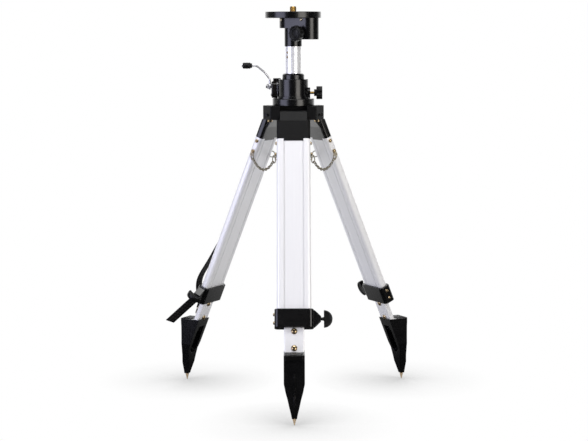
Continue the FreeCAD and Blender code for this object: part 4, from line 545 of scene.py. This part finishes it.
@dataclass
class Studio:
    """White studio: the photograph's camera, soft boxes and a white floor, dimmed near the feet."""

    eye: Vector = field(default_factory=lambda: Vector((0.0, -3.642, 0.8643)))
    pitch: float = math.radians(7.081)
    roll: float = math.radians(0.19)
    focal_pixels: float = 1568.2
    frame_pixels: tuple[int, int] = (588, 441)
    axis_offset_pixels: float = 0.86
    sensor: float = 36.0
    floor_radius: float = 9.0
    ambient: float = 0.56
    mirror: tuple[float, float, float, float] = (0.4, 0.95, 0.02, 1.5)
    floor_mirror: tuple[float, float, float, float] = (0.2, 1.2, 0.03, 1.6)
    shade_reach: float = 0.22
    shade: tuple[float, float, float, float] = (0.8, 0.985, 0.62, 1.0)

    def place_camera(self) -> None:
        """Stands the camera where the photograph's rows and columns put it."""
        data = bpy.data.cameras.new("camera")
        data.sensor_width = self.sensor
        data.lens = self.focal_pixels * self.sensor / self.frame_pixels[0]
        data.shift_x = self.axis_offset_pixels / self.frame_pixels[0]
        data.clip_end = 100.0
        camera = bpy.data.objects.new("camera", data)
        camera.location = self.eye
        camera.rotation_euler = Euler((math.pi / 2 - self.pitch, self.roll, 0))
        bpy.context.scene.collection.objects.link(camera)
        bpy.context.scene.camera = camera

    def soft_box(self, name: str, at: Vector, size: tuple[float, float], power: float, colour: str) -> None:
        """Hangs one soft box, aimed at the tripod's middle.

        Args:
            name: The lamp's name.
            at: Its place in metres.
            size: Width and height in metres.
            power: Its power in watts.
            colour: Its colour as hex.
        """
        data = bpy.data.lights.new(name, "AREA")
        data.shape = "RECTANGLE"
        data.size, data.size_y = size
        data.energy = power
        data.color = linear(colour)[:3]
        lamp = bpy.data.objects.new(name, data)
        lamp.location = at
        aim = Vector((0, 0, 0.45)) - at
        lamp.rotation_euler = aim.to_track_quat("-Z", "Y").to_euler()
        bpy.context.scene.collection.objects.link(lamp)

    def hang_lamps(self) -> None:
        """Soft boxes at the left, at the right and above the camera."""
        self.soft_box("soft box left", Vector((-2.1, -1.5, 0.9)), (2.0, 2.4), 44.0, "#E1E2FF")
        self.soft_box("soft box right", Vector((1.6, -2.1, 0.9)), (1.5, 2.4), 38.0, "#FFFAF4")
        self.soft_box("soft box above", Vector((0.0, -0.9, 3.2)), (2.6, 1.4), 54.0, "#FFFFFF")

    def white_room(self) -> None:
        """World that is white to the eye and in reflections from behind, and dimmer round the camera."""
        world = bpy.data.worlds.new("white room")
        bpy.context.scene.world = world
        world.use_nodes = True
        tree = world.node_tree
        tree.nodes.clear()
        way = add_node(tree, "ShaderNodeTexCoord").outputs["Generated"]
        split = add_node(tree, "ShaderNodeSeparateXYZ", {"Vector": way})
        behind = ramp(tree, split.outputs["Y"], self.mirror, interpolation_type="SMOOTHSTEP")
        rays = add_node(tree, "ShaderNodeLightPath")
        mirror = add_node(tree, "ShaderNodeMath", {0: behind, 1: rays.outputs["Is Glossy Ray"]},
                          operation="MULTIPLY")
        bright = strongest(tree, mirror.outputs[0], rays.outputs["Is Camera Ray"],
                           rays.outputs["Is Transmission Ray"])
        lit = add_node(tree, "ShaderNodeMath", {0: bright, 1: 0.0}, operation="GREATER_THAN")
        level = add_node(tree, "ShaderNodeMix", {"Factor": lit.outputs[0], 2: self.ambient, 3: bright},
                         data_type="FLOAT")
        sky = add_node(tree, "ShaderNodeBackground", {"Color": (1, 1, 1, 1), "Strength": level.outputs[0]})
        add_node(tree, "ShaderNodeOutputWorld", {"Surface": sky.outputs["Background"]})

    def lay_floor(self) -> None:
        """Round floor, white to the eye but for soft shades near what stands on it."""
        bpy.ops.mesh.primitive_circle_add(vertices=96, radius=self.floor_radius, fill_type="NGON")
        floor = bpy.context.active_object
        floor.name = "floor"
        made = bpy.data.materials.new("white floor")
        made.use_nodes = True
        tree = made.node_tree
        tree.nodes.clear()
        point = object_point(tree)
        rays = add_node(tree, "ShaderNodeLightPath")
        kinds = ("Camera", "Glossy", "Transmission")
        seen = strongest(tree, *(rays.outputs[f"Is {kind} Ray"] for kind in kinds))
        matt = add_node(tree, "ShaderNodeBsdfDiffuse", {"Color": linear("#E8E8E8")})
        near = add_node(tree, "ShaderNodeAmbientOcclusion", {"Distance": self.shade_reach}, samples=16)
        shade = ramp(tree, near.outputs["AO"], self.shade)
        place = add_node(tree, "ShaderNodeSeparateXYZ", {"Vector": point})
        behind = ramp(tree, place.outputs["Y"], self.floor_mirror)
        levels = {"Factor": rays.outputs["Is Glossy Ray"], 2: shade, 3: behind}
        gleam = add_node(tree, "ShaderNodeMix", levels, data_type="FLOAT")
        white = add_node(tree, "ShaderNodeEmission", {"Color": (1, 1, 1, 1), "Strength": gleam.outputs[0]})
        shown = add_node(tree, "ShaderNodeMixShader", {0: seen, 1: matt.outputs[0], 2: white.outputs[0]})
        add_node(tree, "ShaderNodeOutputMaterial", {"Surface": shown.outputs[0]})
        floor.data.materials.append(made)

    def build(self) -> None:
        """Builds the whole studio."""
        bpy.context.scene.view_settings.view_transform = "Standard"
        self.place_camera()
        self.hang_lamps()
        self.white_room()
        self.lay_floor()
        LOG.info("studio stands")


# Frames of the legs


@dataclass(frozen=True)
class LegFrame:
    """A leg's own frame: x across, y towards the column, z up the leg, from its hinge pin."""

    name: str

    @property
    def hinge(self) -> Vector:
        """Middle of the leg's hinge pin."""
        return Vector(joint("leg_fold_" + self.name)["pos_m"])

    @property
    def turn(self) -> float:
        """Turn of the leg about the column from the front leg."""
        return math.atan2(self.hinge.x, -self.hinge.y)

    @property
    def lean(self) -> float:
        """Lean of the leg from upright."""
        return math.acos(-joint("leg_extend_" + self.name)["axis"][2])

    @property
    def matrix(self) -> Matrix:
        """Matrix from leg coordinates to the row frame."""
        return (Matrix.Translation(self.hinge) @ Matrix.Rotation(self.turn, 4, "Z")
                @ Matrix.Rotation(-self.lean, 4, "X"))

    @property
    def middle(self) -> float:
        """Depth of the leg's middle plane, where its wing knob turns."""
        return (self.matrix.inverted() @ Vector(joint("wing_turn_" + self.name)["pos_m"])).y

    def point(self, x: float, y: float, down: float) -> Vector:
        """Point in the row frame at a place down the leg."""
        return self.matrix @ Vector((x, y, -down))


LEGS = [LegFrame(name) for name in ("front", "right", "left")]


@dataclass
class Leg:
    """One telescopic leg, with its casting, clamp, slider and spiked shoe."""

    place: LegFrame
    rib_count: int = 7
    rib_width: float = 1.6 * MM
    rib_height: float = 1.2 * MM
    rib_pitch: float = 4.2 * MM
    rib_start: float = 3.0 * MM

    def dress_nodes(self) -> None:
        """Finishes of the leg's own nodes."""
        name = self.place.name
        metal = Extrusion("satin anodised extrusion " + name, "satin_aluminium", "#E4E4E5", 0.36, 0.3,
                          turn=self.place.turn, lean=self.place.lean)
        # Only the front leg's casting gets the dimmed enamel copy, as painted shade; the side castings keep
        # the enamel.
        casting = SHADED_ENAMEL if name == "front" else ENAMEL
        for node, finish in (("leg_tube", metal), ("slider", metal), ("leg_top_casting", casting),
                             ("leg_clamp", ENAMEL), ("shoe", ENAMEL), ("leg_screws", SCREW),
                             ("shoe_bolts", SCREW), ("chain_rings", NICKEL), ("wing_knob", KNOB),
                             ("spike", SPIKE)):
            dressed(f"{node}_{name}", finish)

    def step_ribs(self) -> None:
        """Grip ribs across the shoe's step, in front of the slider."""
        shoe = bpy.data.objects["shoe_front"]
        level = [face for face in shoe.data.polygons if face.normal.z > 0.99]
        widest = max(level, key=lambda face: sum(other.area for other in level
                                                 if abs(other.center.z - face.center.z) < 0.2 * MM))
        corners = [shoe.data.vertices[k].co for face in level for k in face.vertices
                   if abs(face.center.z - widest.center.z) < 0.2 * MM]
        width = 2 * max(corner.x for corner in corners) - 6 * MM
        lip = min(corner.y for corner in corners)
        at = Vector((0, lip + self.rib_start, widest.center.z + self.rib_height / 2 - 0.1 * MM))
        bpy.ops.mesh.primitive_cube_add(size=1.0, location=at, scale=(width, self.rib_width, self.rib_height))
        rib = bpy.context.active_object
        take(rib)
        bpy.ops.object.transform_apply(location=True, scale=True)
        bevelled(rib, 0.45 * MM, 2)
        turn = Matrix.Rotation(self.place.turn, 4, "Z")
        ribs = [copied(rib, "rib", turn @ Matrix.Translation((0, k * self.rib_pitch, 0)))
                for k in range(self.rib_count)]
        removed(rib)
        finished(joined(ribs, "step_ribs_" + self.place.name), ENAMEL, "slider_" + self.place.name)

    def build(self) -> None:
        """Dresses the leg and adds its small pieces."""
        self.dress_nodes()
        self.step_ribs()


# Knobs


@dataclass
class ScallopedKnob:
    """Moulded hand knob: a lobed disc with a dished face, on a neck, with its screw."""

    name: str
    node: str
    body: str
    centre: Vector
    heading: Vector
    radius: float
    thickness: float
    lobes: int
    dip: float
    neck_radius: float
    neck_length: float
    screw_radius: float = 0.0
    screw_length: float = 0.0
    steps: int = 10

    def build(self) -> bpy.types.Object:
        """Models the knob up +Z and carries it to its screw's axis."""
        top = self.thickness
        bpy.ops.mesh.primitive_cylinder_add(vertices=self.lobes * self.steps, radius=self.radius, depth=top,
                                            location=(0, 0, top / 2))
        knob = bpy.context.active_object
        take(knob)
        bpy.ops.object.transform_apply(location=True)
        edit(knob)
        pick_faces(knob, lambda _, normal: normal.z > 0.9)
        rim = 0.16 * self.radius
        bpy.ops.mesh.inset(thickness=rim, depth=0.0)
        bpy.ops.mesh.inset(thickness=rim * 0.8, depth=-0.13 * top)
        bpy.ops.mesh.inset(thickness=rim * 1.3, depth=0.0)
        bpy.ops.mesh.inset(thickness=rim * 0.5, depth=0.1 * top)
        pick_faces(knob, lambda _, normal: normal.z < -0.9)
        bpy.ops.mesh.inset(thickness=self.radius - self.neck_radius - 0.5 * MM, depth=0.0)
        move = {"value": (0, 0, -self.neck_length)}
        bpy.ops.mesh.extrude_region_move(TRANSFORM_OT_translate=move)
        close_edit()
        self.cut_lobes(knob)
        bevelled(knob, 0.055 * self.radius, 3)
        pieces = [knob]
        if self.screw_length:
            pieces.append(lathed("screw", [(self.screw_radius * 0.8, -self.screw_length),
                                           (self.screw_radius, -self.screw_length + 0.8 * MM),
                                           (self.screw_radius, -self.neck_length + 1 * MM)], 24))
        made = joined(pieces, self.name)
        settle(made, along(self.heading, self.centre))
        return finished(made, KNOB, self.body, self.node)

    def cut_lobes(self, knob: bpy.types.Object) -> None:
        """Pulls the rim in between the lobes, more at its edge than near its middle."""
        inner = 0.62 * self.radius
        for vertex in knob.data.vertices:
            out = math.hypot(vertex.co.x, vertex.co.y)
            if out < inner or vertex.co.z < -0.1 * MM:
                continue
            angle = math.atan2(vertex.co.y, vertex.co.x)
            share = 0.5 - 0.5 * math.cos(self.lobes * angle)
            valley = 1 - self.dip / self.radius * share ** 0.8 * (out - inner) / (self.radius - inner)
            vertex.co.x *= valley
            vertex.co.y *= valley


@dataclass
class WingKnob:
    """D-shaped wing knob of a leg clamp, with a finger recess on each side."""

    place: LegFrame
    radius: float = 19.0 * MM
    thickness: float = 11.0 * MM
    neck: float = 6.0 * MM
    stud_radius: float = 3.0 * MM
    rest_turn: float = 0.0

    def build(self) -> bpy.types.Object:
        """Models the wing along +X from its seat on the clamp's nose."""
        name = self.place.name
        half = self.thickness / 2
        radius = self.radius
        rim = [(radius - 1.8 * MM, half), (radius - 0.6 * MM, half - 0.5 * MM), (radius, half - 1.6 * MM)]
        dish = [(radius - 5.6 * MM, half - 1.0 * MM), (radius - 4.4 * MM, half)]
        below = [(wide, -high) for wide, high in dish + rim]
        wing = lathed("wing", below + list(reversed(rim)) + list(reversed(dish)), 58)
        bpy.ops.transform.rotate(value=math.pi / 2, orient_axis="X", center_override=(0, 0, 0))
        bpy.ops.object.transform_apply(rotation=True)
        edit(wing)
        bpy.ops.mesh.select_all(action="SELECT")
        bpy.ops.mesh.bisect(plane_co=(0, 0, 0), plane_no=(1, 0, 0), use_fill=True, clear_inner=True)
        close_edit()
        smoothed(wing)
        pieces = [wing]
        profile = [(3.6 * MM, -self.neck), (3.4 * MM, -self.neck + 1.5 * MM), (4.6 * MM, 1 * MM)]
        neck = lathed("neck", profile, 32)
        stud = lathed("stud", [(self.stud_radius, -43 * MM), (self.stud_radius, -self.neck + 0.5 * MM)], 24)
        for round_piece in (neck, stud):
            pieces.append(settle(round_piece, Matrix.Rotation(math.pi / 2, 4, "Y")))
        made = joined(pieces, "wing_" + name)
        low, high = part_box("wing_knob_front")
        flat = high.x - self.radius
        middle = LEGS[0].matrix.inverted() @ Vector(joint("wing_turn_front")["pos_m"])
        turn = Matrix.Rotation(self.rest_turn, 4, "X")
        carry = self.place.matrix @ Matrix.Translation((flat, middle.y, middle.z)) @ turn
        settle(made, carry)
        return finished(made, KNOB, "wing_" + name, "wing_knob_" + name)


# Head and column


@dataclass
class Head:
    """Head plate, its casting, the threaded stud and the side socket's knob."""

    thread_pitch: float = 2.31 * MM
    thread_depth: float = 1.1 * MM
    rows_a_pitch: int = 6
    heading: float = math.radians(-132.0)
    lobe: Vector = field(default_factory=lambda: Vector((35.0, -31.5, 0)) * MM)

    def threaded_stud(self) -> None:
        """Stud with a real helical thread above the plate, and a plain chamfered top."""
        low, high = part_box("instrument_stud")
        plate_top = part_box("head_plate")[1].z
        radius = (high.x - low.x) / 2
        rows = round((high.z - plate_top) / self.thread_pitch * self.rows_a_pitch)
        step = (high.z - plate_top) / rows
        profile = [(radius, low.z)] + [(radius, plate_top - 1 * MM + k * step) for k in range(rows)]
        profile += [(radius, high.z - 1.2 * MM), (radius - 1.2 * MM, high.z), (radius * 0.5, high.z),
                    (radius * 0.42, high.z - 0.6 * MM)]
        stud = lathed("instrument_stud_threaded", profile, 40)
        for vertex in stud.data.vertices:
            out = math.hypot(vertex.co.x, vertex.co.y)
            if out < radius * 0.98 or vertex.co.z < plate_top:
                continue
            angle = math.atan2(vertex.co.y, vertex.co.x) / (2 * math.pi)
            phase = ((vertex.co.z - plate_top) / self.thread_pitch - angle) % 1.0
            share = 1 - self.thread_depth / radius * (1 - abs(2 * phase - 1))
            vertex.co.x *= share
            vertex.co.y *= share
        smoothed(stud, 30)
        finished(stud, BRASS, "column", "instrument_stud")

    def socket_knob(self) -> None:
        """Scalloped knob that clamps the side socket."""
        way = Vector((math.cos(self.heading), math.sin(self.heading), 0))
        height = Vector(joint("head_knob_turn")["pos_m"]).z
        centre = Vector((self.lobe.x, self.lobe.y, height)) + way * 35.5 * MM
        ScallopedKnob("socket_knob", "head_knob", "head_knob", centre, way, 18.0 * MM, 13.0 * MM, 12,
                      1.5 * MM, 9.5 * MM, 11.5 * MM, 4.0 * MM, 27.0 * MM).build()

    def build(self) -> None:
        """Dresses the head and column, and adds their detailed pieces."""
        for node, finish in (("head_casting", ENAMEL), ("head_plate", ENAMEL), ("head_screws", PALE_SCREW),
                             ("column_tube", BRIGHT), ("column_screws", SCREW), ("rack", STEEL),
                             ("column_foot", BUSH)):
            dressed(node, finish)
        self.threaded_stud()
        self.socket_knob()


# Hub, gearbox and crank


@dataclass
class Hub:
    """Spider, hub housing, gearbox and column lock."""

    gasket_thickness: float = 1.6 * MM
    gasket_overhang: float = 0.7 * MM

    def gasket(self) -> None:
        """Bright metal gasket plate that shows between the gearbox and its cover."""
        low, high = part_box("gearbox_housing")
        depth = high.y - low.y
        tall = high.z - low.z
        grow = 2 * self.gasket_overhang
        middle = Vector((low.x, (low.y + high.y) / 2, (low.z + high.z) / 2))
        bpy.ops.mesh.primitive_cube_add(size=1.0, location=middle,
                                        scale=(self.gasket_thickness, depth + grow, tall + grow))
        plate = bpy.context.active_object
        take(plate)
        bpy.ops.object.transform_apply(location=True, scale=True)
        edit(plate)
        pick_edges(plate, lambda one, two: abs(one.x - two.x) > self.gasket_thickness / 2)
        bpy.ops.mesh.bevel(offset=12.7 * MM, segments=8, affect="EDGES")
        for side in (-1, 1):
            pick_faces(plate, lambda _, normal: normal.x * side > 0.9)
            bpy.ops.mesh.inset(thickness=2.2 * MM, depth=0.0)
            bpy.ops.mesh.inset(thickness=0.2 * MM, depth=-0.45 * self.gasket_thickness)
        close_edit()
        bevelled(plate, 0.25 * MM, 2)
        finished(plate, STEEL, "hub")

    def lock_knob(self) -> None:
        """Star knob of the column lock."""
        low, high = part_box("lock_knob")
        middle = Vector(((high.x - 13.5 * MM), 0, (low.z + high.z) / 2))
        ScallopedKnob("lock_star_knob", "lock_knob", "column_lock", middle, X_AXIS, 15.4 * MM, 13.5 * MM, 7,
                      3.6 * MM, 7.5 * MM, 5.5 * MM).build()

    def build(self) -> None:
        """Dresses the hub and adds its detailed pieces."""
        # The spider gets the dimmed enamel copy, as painted shade.
        for node, finish in (("spider", SHADED_ENAMEL), ("hub_housing", ENAMEL), ("hub_collar", ENAMEL),
                             ("guide_bushes", BUSH), ("gearbox_housing", ENAMEL), ("gearbox_cover", COVER),
                             ("gearbox_screws", STEEL), ("hinge_pins", PIN), ("lobe_bolts", PIN),
                             ("lobe_nuts", SCREW), ("lock_screw", BRASS)):
            dressed(node, finish)
        self.gasket()
        self.lock_knob()


@dataclass
class Crank:
    """Crank arm with its nut and a turned barrel grip."""

    def grip(self) -> None:
        """Barrel grip with a shoulder, two grooves and a domed end."""
        low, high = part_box("crank_grip")
        length = high.x - low.x
        radius = (high.z - low.z) / 2
        bore = 2.55 * MM
        groove = radius - 0.5 * MM
        profile = [(bore, 0), (5.2 * MM, 0), (5.4 * MM, 0.4 * MM), (5.4 * MM, 3.2 * MM),
                   (radius * 0.93, 4.2 * MM), (radius, 5.6 * MM), (radius, 7.6 * MM), (groove, 8.0 * MM),
                   (groove, 8.8 * MM), (radius, 9.2 * MM), (radius, length - 6.4 * MM),
                   (groove, length - 6.0 * MM), (groove, length - 5.2 * MM), (radius, length - 4.8 * MM),
                   (radius, length - 2.8 * MM), (radius * 0.9, length - 1.0 * MM), (radius * 0.7, length),
                   (bore, length)]
        barrel = lathed("crank_barrel_grip", profile, 44)
        bevelled(barrel, 0.25 * MM, 2)
        settle(barrel, along(-X_AXIS, Vector((high.x, (low.y + high.y) / 2, (low.z + high.z) / 2))))
        finished(barrel, KNOB, "crank_grip", "crank_grip")

    def build(self) -> None:
        """Dresses the crank and adds its grip."""
        for node, finish in (("crank_arm", CHROME), ("crank_nut", CHROME), ("pinion_shaft", STEEL)):
            dressed(node, finish)
        self.grip()


# Chains between the legs


@dataclass
class LegChain:
    """Oval-link chain that hangs between two neighbouring legs."""

    first: LegFrame
    second: LegFrame
    links: int = 15
    length: float = 11.0 * MM
    width: float = 7.4 * MM
    wire: float = 0.95 * MM
    ring_radius: float = 7.0 * MM
    ring_wire: float = 1.1 * MM

    def ring_hold(self, leg: LegFrame, side: int) -> tuple[Vector, Vector]:
        """Point where a leg's split ring holds the chain, and the chain's level heading there.

        Args:
            leg: The leg.
            side: 1 for the leg's +x side, -1 for its other side.

        Returns:
            The point and the heading, in the row frame.
        """
        tube_low, tube_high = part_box("leg_tube_front")
        half = (tube_high.x - tube_low.x) / 2
        tilt = math.radians(18.0)
        reach = 9.0 * MM
        eyelet = leg.point(side * (half + 0.8 * MM + reach * math.sin(tilt)), leg.middle,
                           98.0 * MM + reach * math.cos(tilt))
        heading = Matrix.Rotation(leg.turn, 3, "Z") @ Vector((side * 0.5, math.sqrt(0.75), 0))
        pull = (heading - Z_AXIS).normalized()
        return eyelet + pull * (2 * self.ring_radius - self.ring_wire - 0.1 * MM), heading

    def catenary(self, start: Vector, end: Vector, length: float) -> list[Vector]:
        """Evenly spaced points of a chain of this length, hung between two points."""
        level = Vector((end.x - start.x, end.y - start.y, 0))
        span = level.length
        rise = end.z - start.z
        taut = math.sqrt(max(length ** 2 - rise ** 2, (span * 1.02) ** 2))
        low, high = 0.01, 10.0
        for _ in range(60):
            guess = (low + high) / 2
            if math.sinh(guess) / guess < taut / span:
                low = guess
            else:
                high = guess
        scale = span / (2 * low)
        middle = span / 2 - scale * math.asinh(rise / (2 * scale * math.sinh(low)))
        base = scale * math.cosh(middle / scale)
        full = scale * (math.sinh((span - middle) / scale) + math.sinh(middle / scale))
        points = []
        for k in range(self.links + 1):
            across = middle + scale * math.asinh(k * full / self.links / scale - math.sinh(middle / scale))
            height = start.z + scale * math.cosh((across - middle) / scale) - base
            share = across / span
            points.append(Vector((start.x + level.x * share, start.y + level.y * share, height)))
        return points

    def link(self) -> bpy.types.Object:
        """One oval link round the origin, long along z."""
        bend = self.width / 2 - self.wire
        bpy.ops.mesh.primitive_torus_add(major_segments=20, minor_segments=8, major_radius=bend,
                                         minor_radius=self.wire, rotation=(math.pi / 2, 0, 0))
        made = bpy.context.active_object
        take(made)
        bpy.ops.object.transform_apply(rotation=True)
        stretch = (self.length - self.width) / 2
        for vertex in made.data.vertices:
            if abs(vertex.co.z) > 1e-6:
                vertex.co.z += math.copysign(stretch, vertex.co.z)
        return smoothed(made, 60)

    def build(self) -> None:
        """Hangs the links, and joins them into two halves named for its two legs."""
        start, heading = self.ring_hold(self.first, 1)
        end, _ = self.ring_hold(self.second, -1)
        pitch = self.length - 4 * self.wire
        path = self.catenary(start, end, pitch * self.links)
        across = heading.cross(Z_AXIS)
        pattern = self.link()
        placed = []
        for index, (one, two) in enumerate(zip(path, path[1:])):
            way = (two - one).normalized()
            flat = way.cross(across)
            turn = Matrix((across, flat, way)).transposed().to_4x4()
            roll = Matrix.Rotation(math.pi / 2 * (index % 2), 4, "Z")
            placed.append(copied(pattern, "link", Matrix.Translation((one + two) / 2) @ turn @ roll))
        removed(pattern)
        half_way = self.links // 2
        halves = ((self.first, placed[:half_way], path[1]), (self.second, placed[half_way:], path[-2]))
        for leg, links, held in halves:
            half = joined(links, f"chain_{self.first.name}_{self.second.name}_at_{leg.name}")
            half.data.materials.clear()
            half.data.materials.append(NICKEL.material())
            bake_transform(half)
            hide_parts("leg_chains")
        LOG.info("hung chain %s to %s", self.first.name, self.second.name)


# Tie strap on the left leg


@dataclass
class TieStrap:
    """Webbing strap on the left leg, its buckle, free end and lower loop."""

    place: LegFrame
    width: float = 25.0 * MM
    thickness: float = 1.8 * MM

    @property
    def face(self) -> float:
        """Depth of webbing that lies on the leg's outer face."""
        return 2 * self.place.middle - 1.6 * MM

    @property
    def clamp_face(self) -> float:
        """Depth of webbing that lies on the clamp."""
        return 2 * self.place.middle - 6.7 * MM

    def band(self, name: str, path: Sequence[tuple[float, float, float]], width: float,
             twist: float = 0.0) -> bpy.types.Object:
        """Webbing extruded from point to point across the leg.

        Args:
            name: The piece's name.
            path: Sideways shift, outward place and place down the leg of each point, in metres.
            width: The webbing's width.
            twist: Turn of the whole band about its own run.

        Returns:
            The webbing, with thickness and a UV map of its threads.
        """
        points = [Vector((x, y, -down)) for x, y, down in path]
        bpy.ops.mesh.primitive_plane_add(size=1.0)
        strip = bpy.context.active_object
        corners = [points[0] - X_AXIS * width / 2, points[0] + X_AXIS * width / 2,
                   points[1] - X_AXIS * width / 2, points[1] + X_AXIS * width / 2]
        for vertex, corner in zip(strip.data.vertices, corners):
            vertex.co = corner
        edit(strip)
        pick_edges(strip, lambda one, two: (one - two).cross(X_AXIS).length < 1e-6
                   and (one + two - 2 * points[1]).length < 1e-5)
        for before, after in zip(points[1:], points[2:]):
            bpy.ops.mesh.extrude_region_move(TRANSFORM_OT_translate={"value": after - before})
        bpy.ops.object.mode_set(mode="OBJECT")
        threads = strip.data.uv_layers.active or strip.data.uv_layers.new()
        threads.name = "Threads"
        lengths = [0.0]
        for before, after in zip(points, points[1:]):
            lengths.append(lengths[-1] + (after - before).length)
        for loop in strip.data.loops:
            spot = strip.data.vertices[loop.vertex_index].co
            nearest = min(range(len(points)), key=lambda k: abs((spot - points[k]).dot(
                (points[min(k + 1, len(points) - 1)] - points[max(k - 1, 0)]).normalized()))
                + (spot - points[k]).yz.length)
            threads.data[loop.index].uv = ((spot.x - points[nearest].x), lengths[nearest])
        modify(strip, "SUBSURF", levels=2, render_levels=2, boundary_smooth="PRESERVE_CORNERS")
        modify(strip, "SOLIDIFY", thickness=self.thickness, offset=0.0)
        modify(strip, "BEVEL", width=0.35 * MM, segments=2, limit_method="ANGLE")
        smoothed(strip, 50)
        strip.name = name
        spin = Matrix.Rotation(twist, 4, points[-1] - points[0])
        held = Matrix.Translation(points[0]) @ spin @ Matrix.Translation(-points[0])
        return settle(strip, self.place.matrix @ held)

    def upper(self) -> None:
        """Strap from the leg's top over the buckle on the clamp, with a bulge above it."""
        face = self.face
        over = self.clamp_face
        path = [(0, face, 0.040), (0, face, 0.060), (0, face - 0.3 * MM, 0.100), (0, face, 0.160),
                (0, face - 0.6 * MM, 0.230), (0, face - 1.0 * MM, 0.300), (0, face - 7.0 * MM, 0.340),
                (0, face - 13.0 * MM, 0.375), (0, face - 18.0 * MM, 0.405), (0, face - 24.5 * MM, 0.433),
                (0, face - 29.0 * MM, 0.456), (0, face - 27.0 * MM, 0.474), (0, face - 20.0 * MM, 0.489),
                (0, over - 8.0 * MM, 0.500)]
        strap = self.band("strap_upper_webbing", path, self.width)
        finished(strap, WEBBING, "leg_left", "strap_upper")

    def tail(self) -> None:
        """Free end, thrown outwards, with a square-cut tip."""
        over = self.clamp_face
        path = [(0, over - 8.0 * MM, 0.500), (0, over - 19.0 * MM, 0.518), (0, over - 29.0 * MM, 0.538),
                (0, over - 40.0 * MM, 0.560), (0, over - 51.0 * MM, 0.582), (0, over - 61.5 * MM, 0.603)]
        strap = self.band("strap_tail_webbing", path, self.width, math.radians(30.0))
        finished(strap, WEBBING, "leg_left")

    def lower(self) -> None:
        """Lower webbing, looped through the square ring on the slider."""
        fold = self.clamp_face - 0.4 * MM
        low = 0.5035 + 0.025
        path = [(0, fold, 0.4965), (0, fold - 0.4 * MM, 0.5060), (0, fold + 1.0 * MM, 0.5140),
                (0, fold + 1.6 * MM, 0.5215), (0, fold + 1.8 * MM, low)]
        strap = self.band("strap_lower_webbing", path, self.width - 3 * MM)
        strap.data.materials.clear()
        strap.data.materials.append(WEBBING.material())
        self.place.point(0, fold, 0.500)
        self.place.point(0, fold, low)
        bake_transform(strap)
        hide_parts("strap_lower")

    def build(self) -> None:
        """Builds the webbing and dresses its hardware."""
        dressed("strap_buckle", BUCKLE)
        dressed("strap_ring", NICKEL)
        self.upper()
        self.tail()
        self.lower()


class WingRest(Enum):
    """How far each leg's wing knob is turned as the photograph shows it."""

    front = 0.0
    right = 0.0
    left = 80.0


def main() -> None:
    """Builds the studio and dresses the tripod from the ground up."""
    logging.basicConfig(level=logging.INFO, format="%(name)s: %(message)s")
    Studio().build()
    for place in LEGS:
        Leg(place).build()
        WingKnob(place, rest_turn=math.radians(WingRest[place.name].value)).build()
    Hub().build()
    Crank().build()
    Head().build()
    for first, second in ((0, 1), (1, 2), (2, 0)):
        LegChain(LEGS[first], LEGS[second]).build()
    TieStrap(LEGS[2]).build()
    LOG.info("dressed all pieces")


if __name__ == "__main__":
    main()
